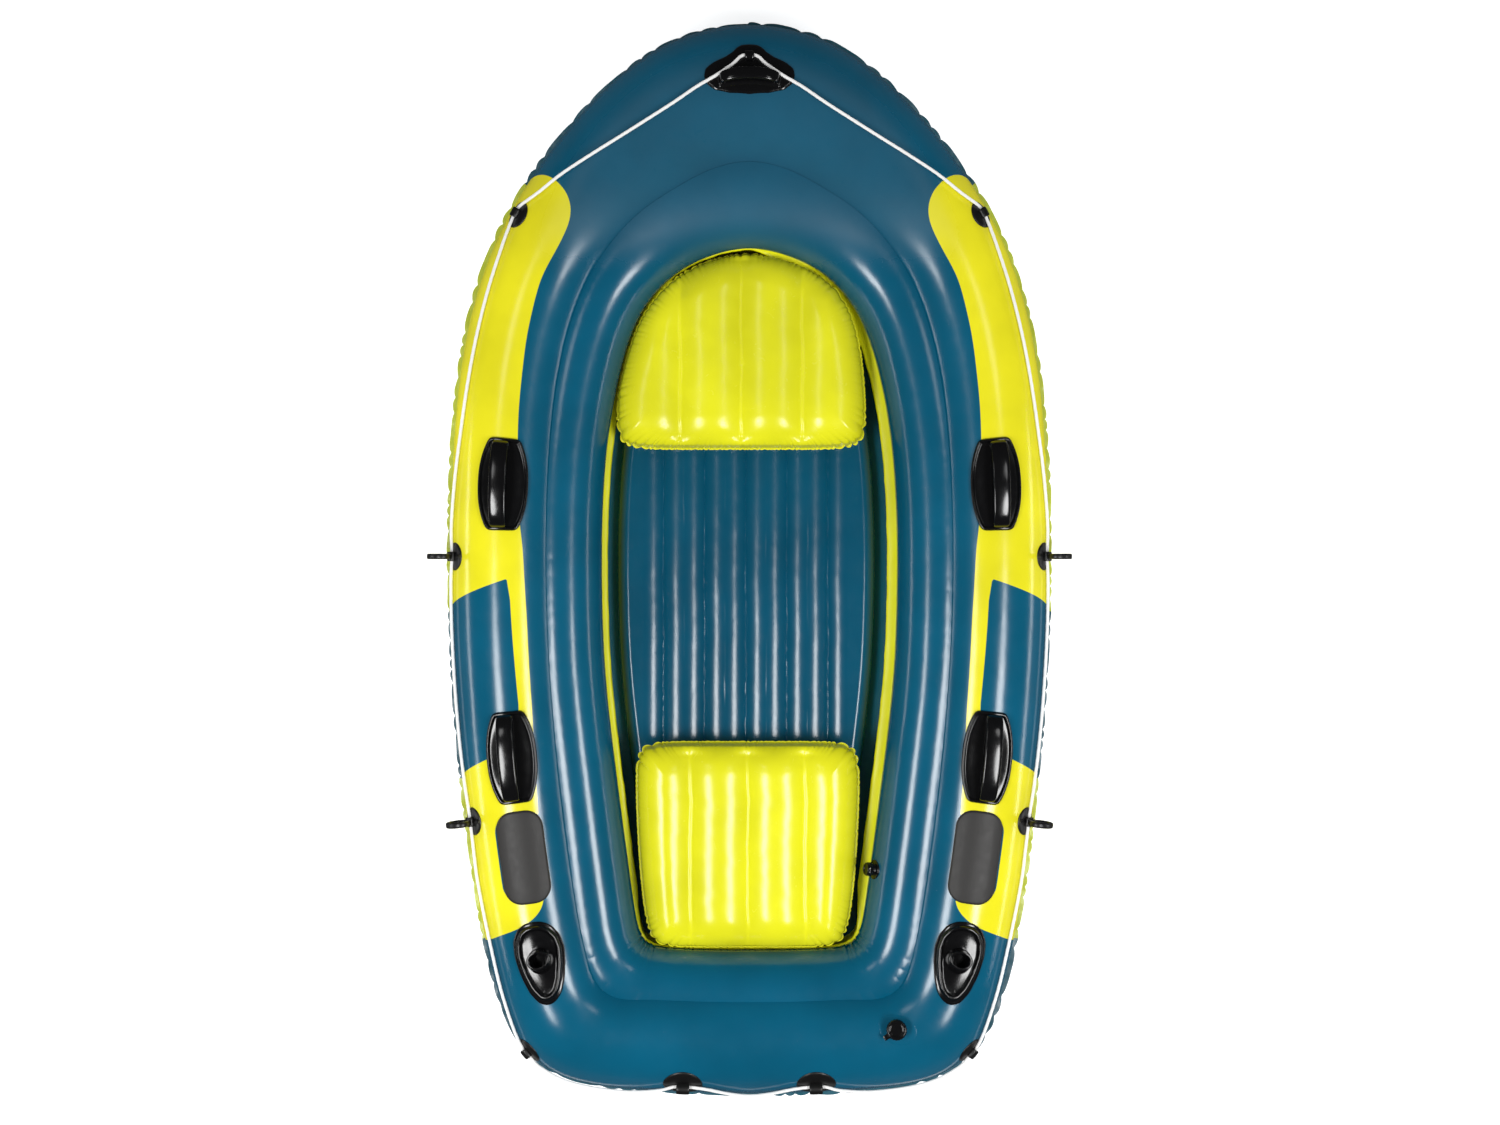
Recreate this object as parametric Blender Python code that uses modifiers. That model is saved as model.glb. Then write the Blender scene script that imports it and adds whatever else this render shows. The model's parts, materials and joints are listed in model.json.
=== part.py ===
"""Two-person inflatable boat, modelled as separate pieces in metres with +Z up.

The bow points to +Y and the boat rests on the plane z = 0. Every piece that lies on the
hull is placed with a rib: a vertical section of the hull that starts at the edge of the
cockpit, runs outward along the edge's normal and ends at the outline of the hull.
"""
import math

import bmesh
import bpy
from mathutils import Matrix, Vector

# Hull: plan sizes
HULL_LENGTH = 2.295
HULL_BEAM = 1.300

# Hull: sections of the outer tube and of the roll inside it, and the roll's width that shows
TUBE_RADIUS = 0.125
BOW_TUBE_RADIUS = 0.157
ROLL_SHOW = 0.0785
BOW_ROLL_SHOW = 0.150
STERN_ROLL_SHOW = 0.057
ROLL_HALF_WIDTH = 0.0895
ROLL_HALF_HEIGHT = 0.0895
BOW_ROLL_HALF_WIDTH = 0.142
BOW_ROLL_HALF_HEIGHT = 0.110
BOW_RISE = 0.050
BOW_ROLL_RISE = 0.040
SEAM_WIDTH = 0.010
SEAM_THICKNESS = 0.0016

# Bottom, lining and floor
SHEET_THICKNESS = 0.0015
LINING_INSET = 0.025
LINING_FIN_UNDER_SEAT_SEAM = 0.0161
LINING_FIN_RISE = 0.016
LINING_THICKNESS = 0.002
MAT_THICKNESS = 0.050
MAT_CHANNEL = 0.093
MAT_EDGE = 0.030

# Seats
SEAT_THICKNESS = 0.130
SEAT_EDGE = 0.075
SEAT_CLEARANCE = 0.019
SEAT_BOW_CLEARANCE = 0.027
SEAT_BOW_REACH = 0.1235
SEAT_BOW_RUN = 0.070
SEAT_SEAM_SPREAD = 0.012
SEAT_SEAM_MARGIN = 0.034
FRONT_SEAT_WIDTH = 0.542
FRONT_SEAT_LENGTH = 0.407
FRONT_SEAT_NOSE_GAP = 0.0265
FRONT_SEAT_OFFSET = -0.018
FRONT_SEAT_CHANNEL = 0.132
REAR_SEAT_WIDTH = 0.486
REAR_SEAT_LENGTH = 0.440
REAR_SEAT_TAIL_GAP = 0.0145
REAR_SEAT_OFFSET = -0.004
REAR_SEAT_CHANNEL = 0.124
WELD_EDGE = 0.003

# Rubber fittings on the outer tube
BASE_THICKNESS = 0.003
CUTTER_REACH = 0.030
HANDLE_LENGTH = 0.190
HANDLE_WIDTH = 0.104
HANDLE_END_WIDTH = 0.052
GRIP_LENGTH = 0.172
GRIP_WIDTH = 0.030
GRIP_HEIGHT = 0.044
GRIP_THICKNESS = 0.013
GRIP_OUTBOARD = 0.006
PAD_LENGTH = 0.198
PAD_WIDTH = 0.102
PAD_CORNER = 0.038
PAD_SPACE = 0.0189
ROD_SPACE = 0.0347
ROD_LENGTH = 0.176
ROD_WIDTH = 0.106
ROD_RIM_INSET = 0.012
ROD_RIM_WIDTH = 0.006
ROD_RIM_HEIGHT = 0.011
ROD_TUBE_RADIUS = 0.0195
ROD_FOOT_RADIUS = 0.026
ROD_BORE_RADIUS = 0.0145
ROD_TUBE_HEIGHT = 0.040
ROD_LEAN_DEG = 12.0
BOW_PLATE_WIDTH = 0.192
BOW_PLATE_LENGTH = 0.112
BOW_GRIP_LENGTH = 0.132
BOW_GRIP_WIDTH = 0.021
BOW_GRIP_HEIGHT = 0.032
BOW_GRIP_THICKNESS = 0.010
BOW_GRIP_SHIFT = 0.012
BOW_EYE_SHIFT = 0.036

# Rope guides, oar rings and the rope
ROPE_RADIUS = 0.0035
ROPE_CLEARANCE = 0.0045
ROPE_SEAT_GAP = 0.0004
GUIDE_BORE_RADIUS = 0.0055
GUIDE_BORE_HEIGHT = 0.009
GUIDE_BLOCK_LENGTH = 0.020
GUIDE_BLOCK_WIDTH = 0.018
GUIDE_BLOCK_HEIGHT = 0.017
PATCH_LENGTH = 0.060
PATCH_WIDTH = 0.060
STERN_PATCH_LENGTH = 0.084
STERN_PATCH_WIDTH = 0.078
STERN_BLOCK_LENGTH = 0.028
STERN_BLOCK_HEIGHT = 0.024
RING_RADIUS = 0.025
RING_BORE_RADIUS = 0.016
RING_THICKNESS = 0.012
RING_HEIGHT = 0.036

# Valves
VALVE_FLANGE_RADIUS = 0.033
VALVE_NECK_RADIUS = 0.0190
VALVE_BORE_RADIUS = 0.0150
VALVE_NECK_HEIGHT = 0.012
VALVE_LIP_HEIGHT = 0.0035
VALVE_CAP_RADIUS = 0.0220
VALVE_CAP_HEIGHT = 0.0105
CAP_TAB_LENGTH = 0.009
CAP_TAB_WIDTH = 0.011
SMALL_FLANGE_RADIUS = 0.021
SMALL_NECK_RADIUS = 0.0125
SMALL_NECK_HEIGHT = 0.007
SMALL_CAP_RADIUS = 0.0150
SMALL_CAP_HEIGHT = 0.014
POCKET_RADIUS = 0.0190
POCKET_DEPTH = 0.016
POCKET_RING_WIDTH = 0.0045
POCKET_RING_HEIGHT = 0.006
POCKET_CAP_HEIGHT = 0.006
FLOOR_VALVE_AHEAD = 0.2205
FRONT_SEAT_VALVE_AHEAD = 0.170
REAR_SEAT_VALVE_AHEAD = 0.286

# Fits and counts
GAP = 0.0003
CHAMBER_GAP = 0.0008
CUT_OVERRUN = 0.004
RIBS = 88
TUBE_SIDES = 20
ROLL_SIDES = 10
ROLL_BACK_SIDES = 5
VALVE_SIDES = 16
GUIDE_BORE_SIDES = 12
PLATE_SIDES = 20
CORNER_STEPS = 4
ARCH_STEPS = 10
HANDLE_STEPS = 8
MAT_ROWS = 13
SEAT_ROWS = 12
COLUMNS_PER_CHANNEL = 4
DENSE_PER_SPAN = 24
SEARCH_STEPS = 40
PLACES_PER_RIB = 16
MERGE = 0.00001

# Forms, as shares: the cushions' edge columns, the evenness of their rows and the depth
# of their seams; the lean and the roundness of an arch; the shoulder of a cap
EDGE_COLUMN_SHARE = 0.006
ROW_EVENNESS_SHARE = 0.45
SEAM_DEPTH_SHARE = 0.42
ARCH_LEAN_SHARE = 0.10
ARCH_ROUNDNESS_SHARE = 0.62
CAP_SHOULDER_SHARE = 0.86

# Half outlines, from the bow round the right side to the stern: shares of the length
# and of the half beam
HULL_OUTLINE_SHARES = (
    (0.000, 0.000), (0.010, 0.205), (0.030, 0.355), (0.068, 0.527), (0.115, 0.674),
    (0.162, 0.790), (0.209, 0.870), (0.256, 0.925), (0.303, 0.960), (0.350, 0.982),
    (0.420, 0.998), (0.490, 1.003), (0.560, 0.999), (0.632, 0.984), (0.726, 0.955),
    (0.820, 0.910), (0.880, 0.868), (0.914, 0.834), (0.943, 0.790), (0.963, 0.742),
    (0.979, 0.670), (0.991, 0.560), (0.998, 0.360), (1.001, 0.000),
)
COCKPIT_OUTLINE_SHARES = (
    (0.000, 0.000), (0.006, 0.200), (0.026, 0.460), (0.060, 0.640), (0.100, 0.765),
    (0.150, 0.850), (0.220, 0.928), (0.310, 0.984), (0.418, 1.003), (0.503, 0.998),
    (0.588, 0.985), (0.670, 0.948), (0.762, 0.892), (0.850, 0.838), (0.930, 0.788),
    (0.972, 0.755), (0.992, 0.700), (0.998, 0.560), (1.000, 0.300), (1.000, 0.000),
)
FRONT_SEAT_SHARES = (
    (0.000, 0.000), (0.008, 0.210), (0.055, 0.500), (0.150, 0.730), (0.290, 0.880),
    (0.450, 0.955), (0.640, 0.990), (0.820, 1.005), (0.935, 0.995), (0.982, 0.930),
    (1.000, 0.780), (1.000, 0.400), (1.000, 0.000),
)
REAR_SEAT_SHARES = (
    (0.000, 0.000), (0.000, 0.420), (0.000, 0.800), (0.018, 0.935), (0.070, 0.995),
    (0.200, 1.005), (0.420, 0.990), (0.640, 0.965), (0.830, 0.925), (0.940, 0.880),
    (0.985, 0.810), (1.000, 0.640), (1.000, 0.300), (1.000, 0.000),
)
BOW_PLATE_SHARES = (
    (1.00, 0.00), (0.97, 0.13), (0.82, 0.27), (0.66, 0.46), (0.56, 0.72), (0.40, 0.94),
    (0.16, 1.00), (-0.20, 0.97), (-0.58, 0.80), (-0.88, 0.44), (-1.00, 0.00),
)
ROD_PLATE_SHARES = (
    (1.00, 0.00), (0.97, 0.34), (0.84, 0.66), (0.55, 0.93), (0.20, 1.00), (-0.20, 0.92),
    (-0.60, 0.70), (-0.88, 0.40), (-1.00, 0.00),
)

# Fittings on the right side; each has a twin on the left. A place is a share of the way
# from bow to stern round the rib stations, and an angle round the tube above its equator
HANDLE_PLACE_SHARES = {"front": 0.3975, "rear": 0.629}
TOP_ANGLE_DEG = 90.0
BOW_PLATE_ANGLE_DEG = 74.0
GUIDE_PLACE_SHARES = {"bow": 0.1895, "front": 0.4585, "rear": 0.681, "corner": 0.8505,
                      "stern": 0.9445}
GUIDE_ANGLES_DEG = {"bow": 40.0, "front": 31.0, "rear": 35.0, "corner": 28.0,
                    "stern": 45.0}
VALVE_PLACE_SHARE = 0.876
VALVE_ANGLE_DEG = 102.0
ROLL_VALVE_PLACE_SHARE = 0.742
ROLL_VALVE_ANGLE_DEG = 22.0

# Points of the rope between neighbouring guides: shares of the way from one guide to the
# next, and the angles round the tube
ROPE_SPAN_SHARES = {
    "bow": (0.06, 0.16, 0.28, 0.42, 0.57, 0.72, 0.88),
    "front": (0.08, 0.20, 0.34, 0.48, 0.62, 0.76, 0.90),
    "rear": (0.10, 0.27, 0.46, 0.66, 0.84),
    "corner": (0.12, 0.28, 0.45, 0.62, 0.79, 0.92),
    "stern": (0.10, 0.24, 0.40, 0.60, 0.80),
    "middle": (0.18, 0.34, 0.50),
}
ROPE_ANGLES_DEG = {
    "bow": (60.0, 68.0, 75.0, 78.0, 76.0, 69.0, 52.0),
    "front": (44.0, 47.0, 47.0, 45.0, 41.0, 35.0, 30.0),
    "rear": (29.0, 28.0, 28.0, 29.0, 32.0),
    "corner": (35.0, 34.0, 36.0, 38.0, 38.0, 34.0),
    "stern": (24.0, 17.0, 17.0, 24.0, 36.0),
    "middle": (42.0, 33.0, 26.0),
}

COLOURS = {
    "hull_blue": (0.008, 0.110, 0.205, 1.0),
    "seam_blue": (0.006, 0.085, 0.120, 1.0),
    "floor_blue": (0.007, 0.098, 0.170, 1.0),
    "lime": (0.760, 0.790, 0.012, 1.0),
    "gloss_black": (0.009, 0.009, 0.010, 1.0),
    "matt_black": (0.026, 0.024, 0.022, 1.0),
    "rope_white": (0.850, 0.850, 0.830, 1.0),
}
ROUGHNESS = {"hull_blue": 0.30, "seam_blue": 0.35, "floor_blue": 0.28, "lime": 0.32,
             "gloss_black": 0.18, "matt_black": 0.60, "rope_white": 0.70}

BOW_Y = HULL_LENGTH / 2
BOW_DECK = 2 * BOW_TUBE_RADIUS + BOW_ROLL_SHOW
STERN_DECK = 2 * TUBE_RADIUS + STERN_ROLL_SHOW
COCKPIT_BEAM = HULL_BEAM - 2 * (2 * TUBE_RADIUS + ROLL_SHOW)
SEAT_SEAM_Z = SHEET_THICKNESS + MAT_THICKNESS + 2 * GAP + SEAT_THICKNESS / 2
LINING_FIN_DROP = TUBE_RADIUS - (SEAT_SEAM_Z - LINING_FIN_UNDER_SEAT_SEAM)
COCKPIT_LENGTH = HULL_LENGTH - BOW_DECK - STERN_DECK
COCKPIT_FRONT_Y = BOW_Y - BOW_DECK
COCKPIT_AFT_Y = COCKPIT_FRONT_Y - COCKPIT_LENGTH
FRONT_SEAT_Y = COCKPIT_FRONT_Y - FRONT_SEAT_NOSE_GAP - FRONT_SEAT_LENGTH
REAR_SEAT_Y = COCKPIT_AFT_Y + REAR_SEAT_TAIL_GAP


# Scene set-up

def clear_scene():
    """Remove the objects of the startup scene."""
    for item in list(bpy.data.objects):
        bpy.data.objects.remove(item, do_unlink=True)


def new_collection(name):
    """Return a new collection linked to the scene."""
    collection = bpy.data.collections.new(name)
    bpy.context.scene.collection.children.link(collection)
    return collection


def new_material(name):
    """Return a Principled material with the colour and roughness of that name."""
    material = bpy.data.materials.new(name)
    material.use_nodes = True
    shader = material.node_tree.nodes["Principled BSDF"]
    shader.inputs["Base Color"].default_value = COLOURS[name]
    shader.inputs["Roughness"].default_value = ROUGHNESS[name]
    shader.inputs["Metallic"].default_value = 0.0
    return material


def add_part(name, mesh, material, matrix=None):
    """Add a piece of the boat with its own copy of a material."""
    part = bpy.data.objects.new(name, mesh)
    boat.objects.link(part)
    own = material.copy()
    own.name = name
    part.data.materials.clear()
    part.data.materials.append(own)
    if matrix is not None:
        part.matrix_world = matrix
    return part


def add_cutter(name, mesh, matrix=None):
    """Add a hidden helper that a Boolean reads."""
    cutter = bpy.data.objects.new(name, mesh)
    cutters.objects.link(cutter)
    cutter.display_type = "WIRE"
    cutter.hide_render = True
    if matrix is not None:
        cutter.matrix_world = matrix
    return cutter


def add_boolean(part, cutter, operation):
    """Put a live Boolean on a piece."""
    modifier = part.modifiers.new(operation.lower(), "BOOLEAN")
    modifier.operation = operation
    modifier.object = cutter
    modifier.solver = "EXACT"


def smooth(mesh):
    """Shade a round mesh smooth, with its corners kept sharp."""
    mesh.shade_smooth()
    mesh.set_sharp_from_angle(angle=math.radians(40.0))


# Outlines

def closed_spline(half_shares):
    """Return a closed, symmetric cubic B-spline through a mirrored table of shares.

    The points are (along, across), along from 0 at the bow to 1 at the stern, and the loop
    runs from the bow round the right side. It is stretched to fill its shares exactly.
    """
    right = list(half_shares)
    left = [(along, -across) for along, across in reversed(right[1:-1])]
    control = right + left
    count = len(control)
    points = []
    for index in range(count):
        p0, p1, p2, p3 = (control[(index + k) % count] for k in (-1, 0, 1, 2))
        for step in range(DENSE_PER_SPAN):
            t = step / DENSE_PER_SPAN
            w0 = (1 - t) ** 3 / 6
            w1 = (3 * t ** 3 - 6 * t ** 2 + 4) / 6
            w2 = (-3 * t ** 3 + 3 * t ** 2 + 3 * t + 1) / 6
            w3 = t ** 3 / 6
            points.append(tuple(w0 * a + w1 * b + w2 * c + w3 * d
                                for a, b, c, d in zip(p0, p1, p2, p3)))
    low = min(p[0] for p in points)
    high = max(p[0] for p in points)
    wide = max(p[1] for p in points)
    return [((a - low) / (high - low), b / wide) for a, b in points]


def plan_outline(half_shares, length, width, front_y, centre_x=0.0):
    """Return a closed outline in the XY plane from a table of shares."""
    return [Vector((centre_x + across * width / 2, front_y - along * length, 0.0))
            for along, across in closed_spline(half_shares)]


def outward_normals(outline):
    """Return the outward normals of a clockwise outline."""
    count = len(outline)
    normals = []
    for index in range(count):
        along = outline[(index + 1) % count] - outline[index - 1]
        normals.append(Vector((-along.y, along.x, 0.0)).normalized())
    return normals


def ray_length(start, direction, outline):
    """Return how far a ray from inside an outline runs before it meets it."""
    across = Vector((-direction.y, direction.x, 0.0))
    best = None
    count = len(outline)
    for index in range(count):
        p, q = outline[index] - start, outline[(index + 1) % count] - start
        a, b = p.dot(across), q.dot(across)
        if (a > 0) == (b > 0):
            continue
        reach = p.lerp(q, a / (a - b)).dot(direction)
        if reach > 0 and (best is None or reach < best):
            best = reach
    return best


def smoothstep(value):
    """Return 0 below 0, 1 above 1 and a smooth step between them."""
    value = min(max(value, 0.0), 1.0)
    return value * value * (3 - 2 * value)


# Ribs

class Rib:
    """A vertical section of the hull at one place round the cockpit."""

    def __init__(self, edge, normal, band):
        self.edge = edge
        self.normal = normal
        self.along = Vector((normal.y, -normal.x, 0.0))
        self.band = band
        swell = smoothstep((band - side_band) / (BOW_DECK - side_band))
        self.radius = TUBE_RADIUS + swell * (BOW_TUBE_RADIUS - TUBE_RADIUS)
        self.roll_width = ROLL_HALF_WIDTH + swell * (BOW_ROLL_HALF_WIDTH - ROLL_HALF_WIDTH)
        self.roll_height = (ROLL_HALF_HEIGHT
                            + swell * (BOW_ROLL_HALF_HEIGHT - ROLL_HALF_HEIGHT))
        self.centre = band - self.radius
        centre_y = (edge + normal * self.centre).y
        lift = (centre_y - COCKPIT_FRONT_Y) / (BOW_DECK - BOW_TUBE_RADIUS)
        self.set_lift(max(lift, 0.0))

    def set_lift(self, lift):
        """Raise the rib toward the bow."""
        self.lift = lift
        self.rise = BOW_RISE * lift ** 2
        self.axis_z = self.radius + self.rise
        self.roll_z = TUBE_RADIUS + BOW_ROLL_RISE * lift ** 2

    def point(self, out, z):
        """Return the point at a distance out from the cockpit's edge and a height."""
        return self.edge + self.normal * out + Vector((0.0, 0.0, z))

    def tube_point(self, angle, extra=0.0):
        """Return a point on the outer tube, or a little off it."""
        reach = self.radius + extra
        return self.point(self.centre + reach * math.cos(angle),
                          self.axis_z + reach * math.sin(angle))

    def roll_point(self, angle, extra=0.0):
        """Return a point on the inner roll; angle 0 is its cockpit side."""
        return self.point(self.roll_width - (self.roll_width + extra) * math.cos(angle),
                          self.roll_z + (self.roll_height + extra) * math.sin(angle))

    def roll_meets_tube(self, sign, extra):
        """Return the roll's angle, on top or below, where it reaches the outer tube."""
        near, far = 0.0, math.pi
        for _ in range(SEARCH_STEPS):
            middle = (near + far) / 2
            out = self.roll_width - self.roll_width * math.cos(middle)
            z = self.roll_z - self.axis_z + sign * self.roll_height * math.sin(middle)
            if math.hypot(out - self.centre, z) > self.radius + extra:
                near = middle
            else:
                far = middle
        return sign * near


def make_ribs():
    """Return the ribs, evenly spaced between the cockpit's edge and the outline."""
    count = len(cockpit_outline)
    normals = outward_normals(cockpit_outline)
    bands = [ray_length(p, n, hull_outline) for p, n in zip(cockpit_outline, normals)]
    middle = [p + n * w / 2 for p, n, w in zip(cockpit_outline, normals, bands)]
    distance = [0.0]
    for index in range(count):
        distance.append(distance[-1] + (middle[(index + 1) % count] - middle[index]).length)
    ribs = []
    cursor = 0
    for number in range(RIBS):
        target = distance[-1] * number / RIBS
        while distance[cursor + 1] <= target:
            cursor += 1
        share = (target - distance[cursor]) / (distance[cursor + 1] - distance[cursor])
        following = (cursor + 1) % count
        edge = cockpit_outline[cursor].lerp(cockpit_outline[following], share)
        normal = normals[cursor].lerp(normals[following], share).normalized()
        ribs.append(Rib(edge, normal, ray_length(edge, normal, hull_outline)))
    return ribs


def rib_between(place):
    """Return a rib at a fractional place in the list of ribs."""
    low = math.floor(place)
    share = place - low
    first, second = ribs[low % RIBS], ribs[(low + 1) % RIBS]
    edge = first.edge.lerp(second.edge, share)
    normal = first.normal.lerp(second.normal, share).normalized()
    between = Rib(edge, normal, first.band + share * (second.band - first.band))
    between.set_lift(first.lift + share * (second.lift - first.lift))
    return between


def rib_place(place_share, side):
    """Return the place of a fitting: side 1 is right and side -1 is left."""
    return side * place_share * RIBS / 2


def place_behind(place, distance):
    """Return the place a distance further aft, measured along the top of the tube."""
    here = rib_between(place).tube_point(math.radians(TOP_ANGLE_DEG))
    walked = 0.0
    step = 1 / PLACES_PER_RIB
    while walked < distance:
        place += step
        there = rib_between(place).tube_point(math.radians(TOP_ANGLE_DEG))
        stride = (there - here).length
        walked += stride
        here = there
    return place - step * (walked - distance) / stride


def frame_matrix(position, along, normal):
    """Return axes with X along the hull, Y outward and down, and Z off the surface."""
    outward = normal.cross(along).normalized()
    along = outward.cross(normal).normalized()
    matrix = Matrix.Identity(4)
    for column, axis in enumerate((along, outward, normal)):
        for row in range(3):
            matrix[row][column] = axis[row]
    matrix.translation = position
    return matrix


def tube_frame(place, angle_deg):
    """Return the axes at a point on the outer tube."""
    rib = rib_between(place)
    angle = math.radians(angle_deg)
    normal = rib.normal * math.cos(angle) + Vector((0.0, 0.0, math.sin(angle)))
    step = 0.5
    fore = rib_between(place - step).tube_point(angle)
    aft = rib_between(place + step).tube_point(angle)
    return frame_matrix(rib.tube_point(angle), (aft - fore).normalized(), normal)


# Meshes

def mesh_from_bmesh(name, bm):
    """Return a mesh with outward faces and free the bmesh."""
    bmesh.ops.recalc_face_normals(bm, faces=bm.faces)
    mesh = bpy.data.meshes.new(name)
    bm.to_mesh(mesh)
    bm.free()
    smooth(mesh)
    return mesh


def loft_ring(name, sections):
    """Return a closed band through sections that run round the hull."""
    bm = bmesh.new()
    rows = [[bm.verts.new(point) for point in section] for section in sections]
    for index, row in enumerate(rows):
        following = rows[(index + 1) % len(rows)]
        for side in range(len(row)):
            other = (side + 1) % len(row)
            bm.faces.new((row[side], row[other], following[other], following[side]))
    return mesh_from_bmesh(name, bm)


def prism_mesh(name, outline, low, high):
    """Return a flat outline extruded along Z from low to high."""
    curve = bpy.data.curves.new(name, "CURVE")
    curve.dimensions = "2D"
    curve.fill_mode = "BOTH"
    curve.extrude = (high - low) / 2
    spline = curve.splines.new("POLY")
    spline.points.add(len(outline) - 1)
    for point, (x, y) in zip(spline.points, outline):
        point.co = (x, y, 0.0, 1.0)
    spline.use_cyclic_u = True
    guide = bpy.data.objects.new(name, curve)
    cutters.objects.link(guide)
    bpy.context.view_layer.update()
    evaluated = guide.evaluated_get(bpy.context.evaluated_depsgraph_get())
    mesh = bpy.data.meshes.new_from_object(evaluated)
    bpy.data.objects.remove(guide, do_unlink=True)
    bm = bmesh.new()
    bm.from_mesh(mesh)
    bmesh.ops.remove_doubles(bm, verts=bm.verts, dist=MERGE)
    bmesh.ops.translate(bm, verts=bm.verts, vec=(0.0, 0.0, (low + high) / 2))
    bpy.data.meshes.remove(mesh)
    return mesh_from_bmesh(name, bm)


def turned_mesh(name, profile, sides):
    """Return a closed solid turned about Z from a profile of (radius, height).

    The profile runs from the top on the axis, down the outer side, to the bottom on the
    axis, or it is a closed loop off the axis.
    """
    mesh = bpy.data.meshes.new(name)
    closed = profile[0][0] > 0
    count = len(profile)
    edges = [(k, (k + 1) % count) for k in range(count if closed else count - 1)]
    mesh.from_pydata([(radius, 0.0, z) for radius, z in profile], edges, [])
    guide = bpy.data.objects.new(name, mesh)
    cutters.objects.link(guide)
    screw = guide.modifiers.new("turn", "SCREW")
    screw.angle = 2 * math.pi
    screw.steps = sides
    screw.render_steps = sides
    screw.use_merge_vertices = True
    screw.merge_threshold = MERGE
    bpy.context.view_layer.update()
    evaluated = guide.evaluated_get(bpy.context.evaluated_depsgraph_get())
    turned = bpy.data.meshes.new_from_object(evaluated)
    bpy.data.objects.remove(guide, do_unlink=True)
    bm = bmesh.new()
    bm.from_mesh(turned)
    bmesh.ops.remove_doubles(bm, verts=bm.verts, dist=MERGE)
    bpy.data.meshes.remove(turned)
    return mesh_from_bmesh(name, bm)


def box_mesh(name, size, centre):
    """Return a box of a size about a centre."""
    bm = bmesh.new()
    bmesh.ops.create_cube(bm, size=1.0)
    bmesh.ops.scale(bm, vec=size, verts=bm.verts)
    bmesh.ops.translate(bm, vec=centre, verts=bm.verts)
    return mesh_from_bmesh(name, bm)


def rod_mesh(name, radius, length, centre, axis, sides, end_radius=None):
    """Return a cylinder or cone about a centre, along the axis X, Y or Z."""
    bm = bmesh.new()
    bmesh.ops.create_cone(bm, cap_ends=True, segments=sides, radius1=radius,
                          radius2=radius if end_radius is None else end_radius,
                          depth=length)
    turns = {"X": Matrix.Rotation(math.pi / 2, 3, "Y"), "Z": Matrix.Identity(3),
             "Y": Matrix.Rotation(math.pi / 2, 3, "X")}
    bmesh.ops.rotate(bm, matrix=turns[axis], verts=bm.verts)
    bmesh.ops.translate(bm, vec=centre, verts=bm.verts)
    return mesh_from_bmesh(name, bm)


def ellipse(length, width, sides):
    """Return an ellipse as a flat outline."""
    return [(length / 2 * math.cos(2 * math.pi * k / sides),
             width / 2 * math.sin(2 * math.pi * k / sides)) for k in range(sides)]


def rounded_rectangle(length, width, corner, steps):
    """Return a rectangle with round corners as a flat outline."""
    outline = []
    for quarter, (sx, sy) in enumerate(((1, 1), (-1, 1), (-1, -1), (1, -1))):
        for step in range(steps + 1):
            angle = math.pi / 2 * (quarter + step / steps)
            outline.append((sx * (length / 2 - corner) + corner * math.cos(angle),
                            sy * (width / 2 - corner) + corner * math.sin(angle)))
    return outline


def mirrored_outline(half_shares, length, width):
    """Return a flat outline from shares of half the length and half the width."""
    right = [(x * length / 2, y * width / 2) for x, y in half_shares]
    return right + [(x, -y) for x, y in reversed(right[1:-1])]


# Hull

def tube_sections(extra=0.0):
    """Return the sections of the outer tube, or of one a little larger."""
    angles = [2 * math.pi * k / TUBE_SIDES - math.pi / 2 for k in range(TUBE_SIDES)]
    return [[rib.tube_point(angle, extra) for angle in angles] for rib in ribs]


def make_outer_tube():
    """Make the round outer chamber and the two cutters that fittings are shaped with."""
    add_part("outer_tube", loft_ring("outer_tube", tube_sections()), paint["hull_blue"])
    core = add_cutter("tube_core", loft_ring("tube_core", tube_sections(GAP)))
    skin = add_cutter("tube_skin", loft_ring("tube_skin", tube_sections(BASE_THICKNESS)))
    return core, skin


def make_inner_tube():
    """Make the roll inside the outer tube, and the cutter that its valve is shaped with."""
    sections, cores = [], []
    for rib in ribs:
        upper = rib.roll_meets_tube(1, CHAMBER_GAP)
        lower = rib.roll_meets_tube(-1, CHAMBER_GAP)
        angles = [upper + (lower - upper) * k / ROLL_SIDES for k in range(ROLL_SIDES + 1)]
        high = tube_angle_of(rib, rib.roll_point(upper))
        low = tube_angle_of(rib, rib.roll_point(lower))
        spread = (low - high) / ROLL_BACK_SIDES
        reach = (rib.radius + CHAMBER_GAP) / math.cos(spread / 2) - rib.radius
        section = [rib.roll_point(angle) for angle in angles[1:-1]]
        section += [rib.tube_point(low - spread * k, reach)
                    for k in range(ROLL_BACK_SIDES + 1)]
        sections.append(section)
        cores.append([rib.roll_point(angle, GAP) for angle in angles]
                     + [rib.point(rib.roll_width, rib.roll_z)])
    add_part("inner_tube", loft_ring("inner_tube", sections), paint["hull_blue"])
    return add_cutter("roll_core", loft_ring("roll_core", cores))


def tube_angle_of(rib, point):
    """Return the angle of a point round the outer tube, from 0 to a full turn."""
    out = (point - rib.edge).dot(rib.normal) - rib.centre
    return math.atan2(point.z - rib.axis_z, out) % (2 * math.pi)


def make_seam_flange():
    """Make the weld flange that runs round the hull at its widest line."""
    half = SEAM_THICKNESS / 2
    sections = []
    for rib in ribs:
        near = rib.band + GAP
        far = rib.band + SEAM_WIDTH
        sections.append([rib.point(near, rib.axis_z - half), rib.point(far, rib.axis_z - half),
                         rib.point(far, rib.axis_z + half), rib.point(near, rib.axis_z + half)])
    add_part("seam_flange", loft_ring("seam_flange", sections), paint["seam_blue"])


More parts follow.
